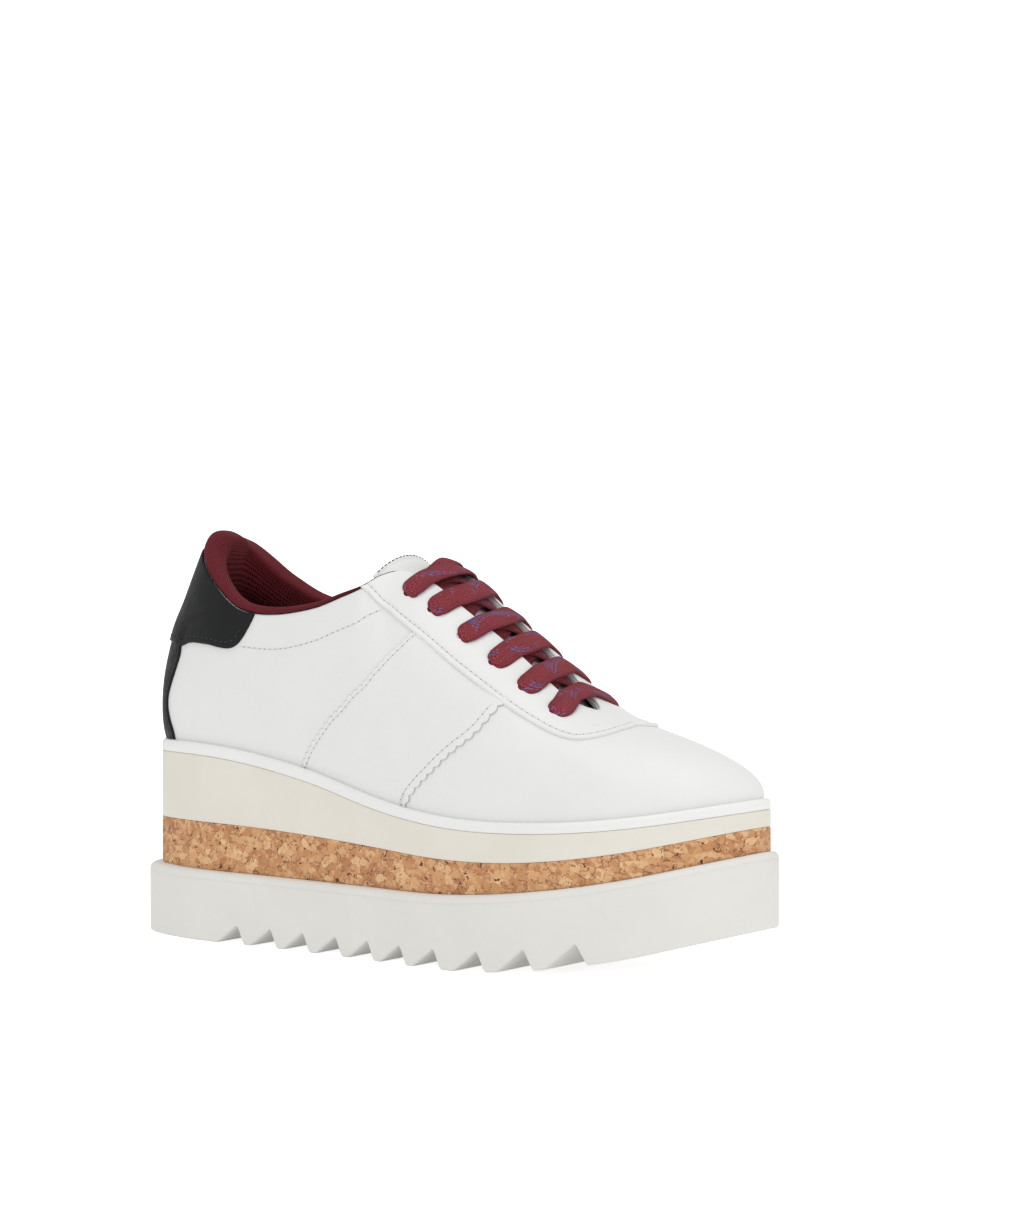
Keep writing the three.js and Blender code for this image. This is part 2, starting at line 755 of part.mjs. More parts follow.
for (const [name, shape] of Object.entries(SHAPES)) {
  add(name, shape(), PAINTS[name]);
}
for (let i = 0; i < EYELETS; i += 1) {
  add(`lace_bar_${i + 1}`, laceBar(i), [0x963741, 0.9]);
}

export default sneaker;
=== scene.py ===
"""Platform sneaker, right shoe: the looks of every piece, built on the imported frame.

Shapes are worked out in the shoe's own millimetres: x from the back of the heel towards the toe,
y across, the outer side of the foot below zero, and z up from the ground.
"""

import math

import bmesh
import bpy
import numpy as np
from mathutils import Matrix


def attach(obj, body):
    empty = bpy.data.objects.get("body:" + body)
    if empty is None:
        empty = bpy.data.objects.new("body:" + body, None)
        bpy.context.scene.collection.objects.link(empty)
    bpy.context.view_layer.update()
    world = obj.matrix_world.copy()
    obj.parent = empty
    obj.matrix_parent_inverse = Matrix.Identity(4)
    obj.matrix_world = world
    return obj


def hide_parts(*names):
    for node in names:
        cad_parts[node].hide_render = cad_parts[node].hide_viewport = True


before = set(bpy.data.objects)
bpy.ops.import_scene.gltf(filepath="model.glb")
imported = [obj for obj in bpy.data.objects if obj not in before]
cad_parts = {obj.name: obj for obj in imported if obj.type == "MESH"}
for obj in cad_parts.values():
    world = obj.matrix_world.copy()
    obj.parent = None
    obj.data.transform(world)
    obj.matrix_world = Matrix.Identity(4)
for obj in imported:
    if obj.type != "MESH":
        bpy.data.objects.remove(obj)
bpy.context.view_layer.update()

# Camera: on the outer side, three quarters to the front, level with the collar and tipped down
# a little. A long lens keeps the shoe's lines nearly parallel.
CAMERA_PLACE = (0.79318, -1.08992, 0.19055)
CAMERA_TURN = math.radians(35)
CAMERA_TIP = math.radians(2.5)

camera_data = bpy.data.cameras.new("camera")
camera_data.lens = 101.18
camera_data.sensor_width = 36
camera_data.clip_end = 100
camera = bpy.data.objects.new("camera", camera_data)
camera.location = CAMERA_PLACE
camera.rotation_euler = (math.pi / 2 - CAMERA_TIP, 0, CAMERA_TURN)
bpy.context.scene.collection.objects.link(camera)
bpy.context.scene.camera = camera


# Studio: a white floor that runs out to a white surround, a broad soft light overhead and a
# smaller one from ahead of the toe, as round a shoe on a light table.
def area_light(name, place, aim, size, power):
    """A square lamp at place, in metres, its face turned to aim."""
    data = bpy.data.lights.new(name, "AREA")
    data.size = size
    data.energy = power
    lamp = bpy.data.objects.new(name, data)
    ray = np.array(aim) - np.array(place)
    flat = math.hypot(ray[0], ray[1])
    lamp.location = place
    lamp.rotation_euler = (math.atan2(flat, -ray[2]), 0, math.atan2(-ray[0], ray[1]))
    bpy.context.scene.collection.objects.link(lamp)


area_light("top_light", (0.35, -0.25, 1.5), (0, 0, 0.06), 1.4, 6)
area_light("toe_light", (1.4, -0.5, 0.8), (0.05, 0, 0.08), 0.8, 1.6)

world = bpy.data.worlds.new("surround")
world.use_nodes = True
surround = world.node_tree.nodes["Background"]
surround.inputs["Color"].default_value = (1, 1, 1, 1)
sight = world.node_tree.nodes.new("ShaderNodeLightPath")
glow = world.node_tree.nodes.new("ShaderNodeMath")
glow.operation = "MULTIPLY_ADD"
glow.inputs[1].default_value = 0.4
glow.inputs[2].default_value = 0.79
world.node_tree.links.new(sight.outputs["Is Camera Ray"], glow.inputs[0])
world.node_tree.links.new(glow.outputs[0], surround.inputs["Strength"])
bpy.context.scene.world = world
bpy.context.scene.view_settings.view_transform = "Standard"

floor_mesh = bpy.data.meshes.new("floor")
floor_mesh.from_pydata([(-20, -20, 0), (20, -20, 0), (20, 20, 0), (-20, 20, 0)], [], [(0, 1, 2, 3)])
floor = bpy.data.objects.new("floor", floor_mesh)
floor_paint = bpy.data.materials.new("floor_white")
floor_paint.use_nodes = True
floor_shader = floor_paint.node_tree.nodes["Principled BSDF"]
floor_shader.inputs["Base Color"].default_value = (0.9, 0.9, 0.9, 1)
floor_shader.inputs["Roughness"].default_value = 0.9
floor_shader.inputs["Emission Color"].default_value = (1, 1, 1, 1)
floor_sight = floor_paint.node_tree.nodes.new("ShaderNodeLightPath")
floor_glow = floor_paint.node_tree.nodes.new("ShaderNodeMath")
floor_glow.operation = "MULTIPLY_ADD"
floor_glow.inputs[1].default_value = 0.5
floor_glow.inputs[2].default_value = 0.2
floor_paint.node_tree.links.new(floor_sight.outputs["Is Camera Ray"], floor_glow.inputs[0])
floor_paint.node_tree.links.new(floor_glow.outputs[0], floor_shader.inputs["Emission Strength"])
floor_mesh.materials.append(floor_paint)
bpy.context.scene.collection.objects.link(floor)

# Outsole: one moulding of off-white rubber, 28 mm thick, with ten sawtooth notches across the
# tread, a toe spring, and a soft round edge on top where the cork stands back from it.
LENGTH = 281.0
SIDE_SHIFT = 1.7
TOE_SPRING = 18.5
BALL_FLAT = 0.4
LEDGE_HEEL = 5.2
LEDGE_TOE = 3.1
SIDE_POINTS = 620
NOTCHES = 10
NOTCH_FIRST = 62.6
NOTCH_PITCH = 17.2
NOTCH_STRETCH = 3.6
NOTCH_DEPTH = 7.4
NOTCH_BACK = 10.6
NOTCH_FRONT = 3.6

OUTLINE = np.array([
    (0, 0, 0),
    (5.5, 24, 24),
    (36, 36.4, 34),
    (80, 38.6, 33.5),
    (120, 41.8, 36),
    (156, 46.6, 41.5),
    (191, 48.5, 45),
    (221, 46, 43.5),
    (249, 36.2, 38.5),
    (270.5, 18.7, 30),
    (281, -5.5, 5.5),
], dtype=[("along", float), ("outer", float), ("inner", float)])

LEVELS = np.array([
    (0, 0, 28.2, 46.8, 73.8, 78.6),
    (48, 0, 28, 47, 73.2, 78),
    (93, 0, 27.8, 45.4, 66.6, 71.4),
    (133, 0, 27.8, 43.1, 57.5, 62),
    (168, 0, 28.2, 41.2, 53.2, 57.4),
    (203, 0.135, 31.3, 42.3, 53.1, 57.3),
    (241, 0.454, 37.4, 47.4, 56.2, 60.4),
    (281, 1, 47.3, 56.5, 62.7, 67.1),
], dtype=[(name, float) for name in ("along", "spring", "outsole", "cork", "midsole", "rand")])

HALF_TURN = len(OUTLINE) - 1


def smooth_ring(values, position):
    """Smooth closed curve through a ring of values: a cubic blend of the four nearest ones."""
    values = np.asarray(values, float)
    position = np.asarray(position, float)
    first = np.floor(position).astype(int)
    s = position - first
    a, b, c, d = (values[(first + k) % len(values)] for k in (-1, 0, 1, 2))
    bend = (2 * a - 5 * b + 4 * c - d) * s ** 2 + (3 * b - a - 3 * c + d) * s ** 3
    return 0.5 * (2 * b + (c - a) * s + bend)


def ring_of(outer, inner):
    """One ring of values: the outer side's from heel to toe, then the inner side's back again."""
    return np.concatenate([outer, inner[-2:0:-1]])


def outline(position):
    """Edge of the sole seen from above, one unit of position for each row of OUTLINE."""
    x = smooth_ring(ring_of(OUTLINE["along"], OUTLINE["along"]), position)
    y = smooth_ring(ring_of(-OUTLINE["outer"], OUTLINE["inner"]), position)
    return np.stack([x, y], -1)


def outline_normal(position):
    """Unit vector out of the edge: its direction of travel turned a quarter turn."""
    way = outline(position + 0.02) - outline(position - 0.02)
    out = np.stack([way[..., 1], -way[..., 0]], -1)
    return out / np.linalg.norm(out, axis=-1, keepdims=True)


def inset(position, distance):
    """Point of the edge moved inwards by a distance."""
    return outline(position) - outline_normal(position) * np.asarray(distance)[..., None]


def stepped(position, distance):
    """The same for the layers over the outsole, which stand back by a ledge, less at the toe."""
    ledge = LEDGE_HEEL + (LEDGE_TOE - LEDGE_HEEL) * outline(position)[..., 0] / LENGTH
    return inset(position, distance + ledge)


def level(name, x):
    """Height of the top of a sole layer at x: cubic spans with the slope of the rows around."""
    along = LEVELS["along"]
    value = LEVELS["spring"] * TOE_SPRING if name == "ground" else LEVELS[name]
    wide = np.concatenate([along[:1], along, along[-1:]])
    tall = np.concatenate([value[:1], value, value[-1:]])
    slope = (tall[2:] - tall[:-2]) / (wide[2:] - wide[:-2])
    i = np.clip(np.searchsorted(along, x, side="left") - 1, 0, len(along) - 2)
    span = along[i + 1] - along[i]
    s = (x - along[i]) / span
    start = value[i] * (2 * s ** 3 - 3 * s ** 2 + 1) + slope[i] * span * (s ** 3 - 2 * s ** 2 + s)
    end = value[i + 1] * (3 * s ** 2 - 2 * s ** 3) + slope[i + 1] * span * (s ** 3 - s ** 2)
    height = start + end
    return np.maximum(height - BALL_FLAT, 0) if name == "ground" else height


def tread(x):
    """Underside of the outsole at x: the ground line with sawtooth notches, lips rounded off."""
    fine = np.arange(-20, LENGTH + 20, 0.1)
    cut = np.zeros_like(fine)
    for i in range(NOTCHES):
        late = max(i - 6, 0)
        apex = NOTCH_FIRST + i * NOTCH_PITCH + late * NOTCH_STRETCH
        deep = NOTCH_DEPTH + 0.3 * late
        back = apex - NOTCH_BACK - 0.6 * late
        front = apex + NOTCH_FRONT + 0.3 * late
        places = [back, apex - 1.2, apex - 0.3, apex + 0.7, front]
        cut = np.maximum(cut, np.interp(fine, places, [0, deep - 0.7, deep, deep - 0.9, 0]))
    soft = np.hanning(13)
    cut = np.convolve(cut, soft / soft.sum(), "same")
    return level("ground", np.clip(x, 0, LENGTH)) + np.interp(x, fine, cut)


# Places round the edge: along the outer side, and back down the inner side at the same x
outer_places = np.linspace(0, HALF_TURN, SIDE_POINTS + 1)
inner_fine = np.linspace(2 * HALF_TURN, HALF_TURN, 20001)
inner_x = np.maximum.accumulate(outline(inner_fine)[:, 0])
inner_places = np.interp(outline(outer_places)[:, 0], inner_x, inner_fine)
edge_places = np.concatenate([outer_places, inner_places[-2:0:-1]])


def sole_ring(distance, height, edge=stepped):
    """Ring round the sole at a distance in from its edge, its height a function of x."""
    flat = edge(edge_places, distance)
    return np.column_stack([flat, height(flat[:, 0])])


def over(name, rise=0.0):
    """Height function: a layer's top and a little more."""
    return lambda x: level(name, np.clip(x, 0, LENGTH)) + rise


def ring_faces(rings, around, first=0):
    """Four-cornered faces between rings of equal count, each ring closed on itself."""
    index = first + np.arange(rings * around).reshape(rings, around)
    index = np.hstack([index, index[:, :1]])
    quads = np.stack([index[:-1, :-1], index[:-1, 1:], index[1:, 1:], index[1:, :-1]], -1)
    return quads.reshape(-1, 4)


def cross_strips(ring, first, next_free, height=None, strips=8):
    """Closes a ring by strips from its outer side to the point across; tips close in triangles."""
    half = len(ring) // 2
    share = np.linspace(0, 1, strips + 1)[1:-1]
    near = ring[1:half]
    far = ring[:half:-1]
    inner = near[:, None] * (1 - share)[None, :, None] + far[:, None] * share[None, :, None]
    if height is not None:
        inner[..., 2] = height(inner[..., 0])
    index = np.empty((half + 1, strips + 1), int)
    index[0] = first
    index[half] = first + half
    index[1:half, 0] = first + np.arange(1, half)
    index[1:half, -1] = first + np.arange(len(ring) - 1, half, -1)
    index[1:half, 1:-1] = next_free + np.arange(inner[..., 0].size).reshape(inner.shape[:2])
    a, b, c, d = index[:-1, :-1], index[:-1, 1:], index[1:, 1:], index[1:, :-1]
    quads = np.stack([a, b, c, d], -1)[1:-1].reshape(-1, 4).tolist()
    heel = np.stack([a[0], c[0], d[0]], -1).tolist()
    toe = np.stack([a[-1], b[-1], c[-1]], -1).tolist()
    return inner.reshape(-1, 3), quads + heel + toe


def sole_body(rings, under=None, strips=8):
    """Solid from a stack of rings, closed below and above by strips across."""
    around = len(rings[0])
    points = np.concatenate(rings)
    faces = ring_faces(len(rings), around).tolist()
    low, low_faces = cross_strips(rings[0], 0, len(points), under, strips)
    points = np.concatenate([points, low])
    top, top_faces = cross_strips(rings[-1], (len(rings) - 1) * around, len(points), None, strips)
    return np.concatenate([points, top]), faces + low_faces + top_faces


def to_frame(points):
    """The shoe's millimetres to the frame's metres, its origin under the middle of the sole."""
    return (np.asarray(points) - (LENGTH / 2, -SIDE_SHIFT, 0)) * 0.001


def new_piece(name, shape, finishes, replaces=(), kinds=None, uv=None, sharp=50):
    """Makes a piece of a closed shape, (points, faces), that rides on the shoe's one body.

    kinds gives each face's place in the list of finishes, and uv each face corner's place."""
    points, faces = shape
    mesh = bpy.data.meshes.new(name)
    mesh.from_pydata(to_frame(points).tolist(), [], faces if isinstance(faces, list) else faces.tolist())
    for finish in finishes:
        mesh.materials.append(finish)
    if kinds is not None:
        mesh.polygons.foreach_set("material_index", np.asarray(kinds, np.int32))
    if uv is not None:
        mesh.uv_layers.new(name="lay").data.foreach_set("uv", np.asarray(uv, np.float32).ravel())
    work = bmesh.new()
    work.from_mesh(mesh)
    bmesh.ops.recalc_face_normals(work, faces=work.faces)
    work.to_mesh(mesh)
    work.free()
    mesh.polygons.foreach_set("use_smooth", np.ones(len(mesh.polygons), bool))
    mesh.set_sharp_from_angle(angle=math.radians(sharp))
    piece = bpy.data.objects.new(name, mesh)
    bpy.context.scene.collection.objects.link(piece)
    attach(piece, "root")
    if replaces:
        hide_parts(*replaces)
    return piece


def new_finish(name, **sockets):
    """A material with one shader, its even values set on the shader's own sockets."""
    material = bpy.data.materials.new(name)
    material.use_nodes = True
    shader = material.node_tree.nodes["Principled BSDF"]
    for socket, value in sockets.items():
        shader.inputs[socket.replace("_", " ")].default_value = value
    return material, material.node_tree, shader


def add_node(tree, kind, inputs=None, **settings):
    """Adds a node with its settings, each input a plain value or another node's output."""
    node = tree.nodes.new(kind)
    for key, value in settings.items():
        setattr(node, key, value)
    for key, value in (inputs or {}).items():
        if isinstance(value, bpy.types.NodeSocket):
            tree.links.new(value, node.inputs[key])
        else:
            node.inputs[key].default_value = value
    return node


def sum_node(tree, operation, a, b=0.0, clamp=False):
    """One step of arithmetic on two values."""
    node = add_node(tree, "ShaderNodeMath", {0: a, 1: b}, operation=operation, use_clamp=clamp)
    return node.outputs[0]


def step_node(tree, value, low, high, start=0.0, end=1.0):
    """Soft step of a value from start at low to end at high."""
    inputs = {"Value": value, "From Min": low, "From Max": high, "To Min": start, "To Max": end}
    return add_node(tree, "ShaderNodeMapRange", inputs, interpolation_type="SMOOTHSTEP").outputs[0]


def blend_node(tree, share, a, b, how="MIX"):
    """Blends two colours."""
    node = add_node(tree, "ShaderNodeMix", data_type="RGBA", blend_type=how)
    for key, value in ((0, share), (6, a), (7, b)):
        if isinstance(value, bpy.types.NodeSocket):
            tree.links.new(value, node.inputs[key])
        else:
            node.inputs[key].default_value = value
    return node.outputs[2]


def new_group(name, inputs, outputs):
    """Empty shader group with named sockets: inputs as (name, type, value), outputs (name, type)."""
    tree = bpy.data.node_groups.new(name, "ShaderNodeTree")
    for label, kind, value in inputs:
        socket = tree.interface.new_socket(label, in_out="INPUT", socket_type="NodeSocket" + kind)
        if value is not None:
            socket.default_value = value
    for label, kind in outputs:
        tree.interface.new_socket(label, in_out="OUTPUT", socket_type="NodeSocket" + kind)
    return tree, tree.nodes.new("NodeGroupInput"), tree.nodes.new("NodeGroupOutput")


def use_group(tree, group, **inputs):
    """Places a group in a material with its own values."""
    node = tree.nodes.new("ShaderNodeGroup")
    node.node_tree = group
    for key, value in inputs.items():
        label = key.replace("_", " ")
        if isinstance(value, bpy.types.NodeSocket):
            tree.links.new(value, node.inputs[label])
        else:
            node.inputs[label].default_value = value
    return node


def object_place(tree):
    """Place on the piece, in metres."""
    return add_node(tree, "ShaderNodeTexCoord").outputs["Object"]


def bump(tree, shader, height, depth, strength=1.0):
    """Gives the shader relief of a depth in metres."""
    node = add_node(tree, "ShaderNodeBump", {"Height": height, "Distance": depth, "Strength": strength})
    tree.links.new(node.outputs[0], shader.inputs["Normal"])


# Moulded surface: a faint cloudiness of tone, and a skin that is never quite flat
moulded, moulded_in, moulded_out = new_group(
    "moulded_skin",
    [("Place", "Vector", None), ("Colour", "Color", (0.8, 0.8, 0.8, 1)),
     ("Soiled", "Color", (0.6, 0.58, 0.54, 1)), ("Soil", "Float", 0.2)],
    [("Colour", "Color"), ("Height", "Float"), ("Gloss change", "Float")],
)
cloud = add_node(moulded, "ShaderNodeTexNoise", {
    "Vector": moulded_in.outputs["Place"], "Scale": 28.0, "Detail": 4.0, "Roughness": 0.6})
speckle = add_node(moulded, "ShaderNodeTexNoise", {
    "Vector": moulded_in.outputs["Place"], "Scale": 900.0, "Detail": 2.0})
ripple = add_node(moulded, "ShaderNodeTexNoise", {
    "Vector": moulded_in.outputs["Place"], "Scale": 120.0, "Detail": 2.0})
cloud_share = step_node(moulded, cloud.outputs[0], 0.35, 0.75)
moulded.links.new(
    blend_node(moulded, sum_node(moulded, "MULTIPLY", cloud_share, moulded_in.outputs["Soil"]),
               moulded_in.outputs["Colour"], moulded_in.outputs["Soiled"]),
    moulded_out.inputs["Colour"])
moulded.links.new(
    sum_node(moulded, "ADD", sum_node(moulded, "MULTIPLY", speckle.outputs[0], 0.35), ripple.outputs[0]),
    moulded_out.inputs["Height"])
moulded.links.new(step_node(moulded, ripple.outputs[0], 0.3, 0.7, -0.05, 0.05),
                  moulded_out.inputs["Gloss change"])


def moulded_finish(name, colour, soiled, soil, roughness, depth=0.00012):
    """Moulded rubber or foam: even colour, a little soiling in clouds, a matt uneven skin."""
    material, tree, shader = new_finish(name, Roughness=roughness, IOR=1.5)
    skin = use_group(tree, moulded, Place=object_place(tree), Colour=colour, Soiled=soiled, Soil=soil)
    tree.links.new(skin.outputs["Colour"], shader.inputs["Base Color"])
    tree.links.new(sum_node(tree, "ADD", skin.outputs["Gloss change"], roughness),
                   shader.inputs["Roughness"])
    bump(tree, shader, skin.outputs["Height"], depth, 0.5)
    return material


foot_curve = np.linspace(0, math.pi / 2, 5)
head_curve = np.linspace(0, math.pi / 2, 8)
outsole_rings = [sole_ring(1.1 * (1 - math.sin(t)), lambda x, t=t: tread(x) + 1.1 * (1 - math.cos(t)), inset)
                 for t in foot_curve]
for share in np.linspace(0, 1, 9)[1:-1]:
    outsole_rings.append(sole_ring(0, lambda x, s=share: (
        (tread(x) + 1.1) * (1 - s) + (over("outsole", -3)(x)) * s), inset))
outsole_rings.append(sole_ring(0, over("outsole", -3.4), inset))
outsole_rings.append(sole_ring(0.16, over("outsole", -3.15), inset))
outsole_rings += [sole_ring(2.9 - 2.9 * math.cos(t), over("outsole", 2.9 * math.sin(t) - 2.9), inset)
                  for t in head_curve]
outsole_rings.append(sole_ring(9, over("outsole"), inset))

rubber = moulded_finish("outsole_rubber", (0.745, 0.735, 0.70, 1), (0.63, 0.615, 0.57, 1), 0.22, 0.55)
outsole = new_piece("outsole_rubber", sole_body(outsole_rings, tread), [rubber],
                    ["outsole"], sharp=40)

# Cork layer: a sheet of pressed cork granules wrapped round the platform's core, its face sanded
# flush with the foam above. Granules differ in tone and lie every way, with bark specks between.
cork_rings = [sole_ring(distance, height) for distance, height in [
    (8, over("outsole", 0.02)), (0.4, over("outsole", 0.02)), (0.08, over("outsole", 0.2))]]
for share in np.linspace(0, 1, 9):
    cork_rings.append(sole_ring(0, lambda x, s=share: (
        over("outsole", 0.6)(x) * (1 - s) + over("cork", -0.5)(x) * s)))
cork_rings += [sole_ring(0.1, over("cork", -0.12)), sole_ring(0.4, over("cork")), sole_ring(8, over("cork"))]

cork, cork_tree, cork_shader = new_finish("cork_granules", Roughness=0.72, IOR=1.4)
cork_place = object_place(cork_tree)
warp = add_node(cork_tree, "ShaderNodeTexNoise", {"Vector": cork_place, "Scale": 380.0, "Detail": 2.0})
bent = add_node(cork_tree, "ShaderNodeVectorMath", {0: warp.outputs["Color"], 1: (0.0022, 0.0022, 0.0022)},
                operation="MULTIPLY")
bent = add_node(cork_tree, "ShaderNodeVectorMath", {0: cork_place, 1: bent.outputs[0]}, operation="ADD")
squeezed = add_node(cork_tree, "ShaderNodeMapping", {"Vector": bent.outputs[0], "Scale": (1, 1, 1.5)})
granules = add_node(cork_tree, "ShaderNodeTexVoronoi", {"Vector": squeezed.outputs[0], "Scale": 250.0})
edges = add_node(cork_tree, "ShaderNodeTexVoronoi", {"Vector": squeezed.outputs[0], "Scale": 250.0},
                 feature="DISTANCE_TO_EDGE")
crumbs = add_node(cork_tree, "ShaderNodeTexVoronoi", {"Vector": bent.outputs[0], "Scale": 700.0})
grain = add_node(cork_tree, "ShaderNodeTexNoise",
                 {"Vector": bent.outputs[0], "Scale": 1300.0, "Detail": 4.0})
patches = add_node(cork_tree, "ShaderNodeTexNoise", {"Vector": cork_place, "Scale": 330.0, "Detail": 2.0})
granule_tone = add_node(cork_tree, "ShaderNodeSeparateColor", {0: granules.outputs["Color"]}).outputs[0]
crumb_parts = add_node(cork_tree, "ShaderNodeSeparateColor", {0: crumbs.outputs["Color"]})
ramp = add_node(cork_tree, "ShaderNodeValToRGB", {0: granule_tone})
for place, colour in ((0, (0.47, 0.21, 0.092, 1)), (1, (0.78, 0.50, 0.27, 1))):
    ramp.color_ramp.elements[place].color = colour
for place, colour in ((0.25, (0.55, 0.27, 0.12, 1)), (0.55, (0.62, 0.325, 0.15, 1)),
                      (0.8, (0.68, 0.39, 0.19, 1))):
    ramp.color_ramp.elements.new(place).color = colour
pale = blend_node(cork_tree, step_node(cork_tree, crumb_parts.outputs[0], 0.78, 0.86, 0.0, 0.55),
                  ramp.outputs[0], (0.76, 0.48, 0.26, 1))
dusky = blend_node(cork_tree, step_node(cork_tree, crumb_parts.outputs[1], 0.84, 0.9, 0.0, 0.6),
                   pale, (0.40, 0.16, 0.07, 1))
grained = blend_node(cork_tree, step_node(cork_tree, grain.outputs[0], 0.52, 0.7, 0.0, 0.35),
                     dusky, (0.40, 0.18, 0.08, 1))
joint_mask = sum_node(cork_tree, "MULTIPLY", step_node(cork_tree, edges.outputs[0], 0.0, 0.06, 0.8, 0.0),
                      step_node(cork_tree, patches.outputs[0], 0.5, 0.56))
jointed = blend_node(cork_tree, joint_mask, grained, (0.17, 0.06, 0.028, 1))
bark_spots = add_node(cork_tree, "ShaderNodeTexNoise", {
    "Vector": bent.outputs[0], "Scale": 420.0, "Detail": 3.0, "Roughness": 0.65})
bark = step_node(cork_tree, bark_spots.outputs[0], 0.635, 0.66)
cork_tree.links.new(blend_node(cork_tree, bark, jointed, (0.11, 0.04, 0.02, 1)),
                    cork_shader.inputs["Base Color"])
relief = sum_node(cork_tree, "SUBTRACT", sum_node(cork_tree, "MULTIPLY", grain.outputs[0], 0.4),
                  sum_node(cork_tree, "ADD", sum_node(cork_tree, "MULTIPLY", joint_mask, 0.6), bark))
bump(cork_tree, cork_shader, relief, 0.0004, 0.7)
new_piece("cork_wrap", sole_body(cork_rings), [cork], ["cork_layer"])

# Midsole: cream foam, a wedge 27 mm tall at the heel and 12 at the ball, cut flush with the cork
# below and glued to it, its corners barely rounded.
midsole_rings = [sole_ring(distance, height) for distance, height in [
    (8, over("cork", 0.02)), (0.4, over("cork", 0.02)), (0.08, over("cork", 0.2)), (0, over("cork", 0.6))]]
for share in np.linspace(0, 1, 7)[1:]:
    midsole_rings.append(sole_ring(0, lambda x, s=share: (
        over("cork", 0.6)(x) * (1 - s) + over("midsole", -0.5)(x) * s)))
midsole_rings += [sole_ring(0.12, over("midsole", -0.12)), sole_ring(0.5, over("midsole")),
                  sole_ring(8, over("midsole"))]
foam = moulded_finish("midsole_foam", (0.77, 0.735, 0.655, 1), (0.68, 0.62, 0.53, 1), 0.3, 0.6, 0.00008)
new_piece("midsole_foam", sole_body(midsole_rings), [foam], ["midsole"])

# Rand: a strip of glossier white rubber, 5 mm tall, rolled over at its top and stuck round the
# feather line where upper and midsole meet. A fine groove parts it from the midsole.
rand_section = [
    (8, "midsole", 0.02), (0.6, "midsole", 0.02), (0.25, "midsole", 0.1), (0.06, "midsole", 0.35),
    (-0.03, "midsole", 0.8), (-0.05, "midsole", 2), (-0.05, "rand", -2.4), (0, "rand", -1.7),
    (0.2, "rand", -1), (0.6, "rand", -0.42), (1.15, "rand", -0.1), (1.8, "rand", 0),
    (2.6, "rand", -0.12), (3.4, "rand", -0.1), (8, "rand", -0.1),
]
rand_rings = [sole_ring(distance, over(name, rise)) for distance, name, rise in rand_section]
rand_faces = ring_faces(len(rand_rings), len(edge_places))
around = len(edge_places)
close = np.arange(around)
rand_last = (len(rand_rings) - 1) * around
rand_faces = np.concatenate([rand_faces, np.stack(
    [rand_last + close, rand_last + np.roll(close, -1), np.roll(close, -1), close], -1)])
rand_skin = moulded_finish("rand_rubber", (0.83, 0.83, 0.815, 1), (0.72, 0.71, 0.68, 1), 0.16, 0.4, 0.00006)
new_piece("rand_strip", (np.concatenate(rand_rings), rand_faces), [rand_skin], ["rand"])

# Upper: white full-grain leather, 2 mm with its lining, lasted over the foot and glued down under
# the rand. It is one shell, open at the collar and throat, with six lace holes on each side.
BALL_WIDTH = 93.5
BALL_HEIGHT = 57.4
INSTEP = 92.0
FEATHER_INSET = 2.6
WALL = 2.0
LACE_HOLE = 2.1
EYELETS = 6
EYELET_BACK = (12.12, 0.866)
EYELET_FRONT = (17.33, 0.762)

SECTIONS = np.array([
    (0.0, 0.084, 0.0, 0.0, 1.063, 7, 22, 11, 24),
    (0.5, 0.088, 0.108, 0.092, 1.06, 7, 22, 10, 24),
    (1.0, 0.104, 0.196, 0.158, 1.033, 6, 20, 8, 22),
    (1.4, 0.128, 0.255, 0.212, 0.975, 5, 18, 7, 20),
    (2.0, 0.163, 0.293, 0.255, 0.892, 5, 17, 6, 18),
    (2.45, 0.208, 0.31, 0.286, 0.815, 5, 17, 5, 17),
    (3.0, 0.267, 0.317, 0.3, 0.801, 5, 17, 4.5, 17),
    (3.5, 0.338, 0.321, 0.306, 0.833, 5, 18, 5, 17),
    (4.0, 0.388, 0.31, 0.299, 0.887, 5, 20, 6, 17),
    (4.33, 0.418, 0.297, 0.289, 0.925, 4.5, 22, 8, 16),
    (4.6, 0.434, 0.241, 0.235, 0.968, 4.5, 24, 13, 13),
    (4.85, 0.454, 0.182, 0.166, 0.99, 4, 26, 17, 11.5),
    (5.1, 0.48, 0.166, 0.143, 0.977, 4, 26, 19, 11),
    (5.45, 0.516, 0.16, 0.128, 0.93, 4, 25, 19, 10.5),
    (5.85, 0.559, 0.15, 0.116, 0.837, 4, 23, 19, 10),
    (6.3, 0.607, 0.139, 0.105, 0.739, 4, 20, 19, 9.5),
    (6.75, 0.648, 0.128, 0.096, 0.646, 4, 17, 20, 9),
    (7.3, 0.688, 0.118, 0.085, 0.548, 3.5, 14, 21, 8.5),
    (7.9, 0.716, 0.1, 0.068, 0.48, 3, 12.5, 23, 8.2),
    (8.55, 0.734, 0.072, 0.04, 0.447, 2.5, 11.5, 29, 9),
    (9.2, 0.743, 0.042, 0.006, 0.432, 2, 11, 37, 10),
    (10.0, 0.746, 0.018, -0.018, 0.426, 2, 11, 43, 11),
], dtype=[(name, float) for name in
          ("foot", "along", "outer", "inner", "up", "lean", "rise", "reach", "drop")])
HALF_LOOP = len(SECTIONS) - 1
LOOP = 2 * HALF_LOOP


def unit(vectors):
    """Vectors scaled to a length of one."""
    return vectors / np.maximum(np.linalg.norm(vectors, axis=-1, keepdims=True), 1e-9)


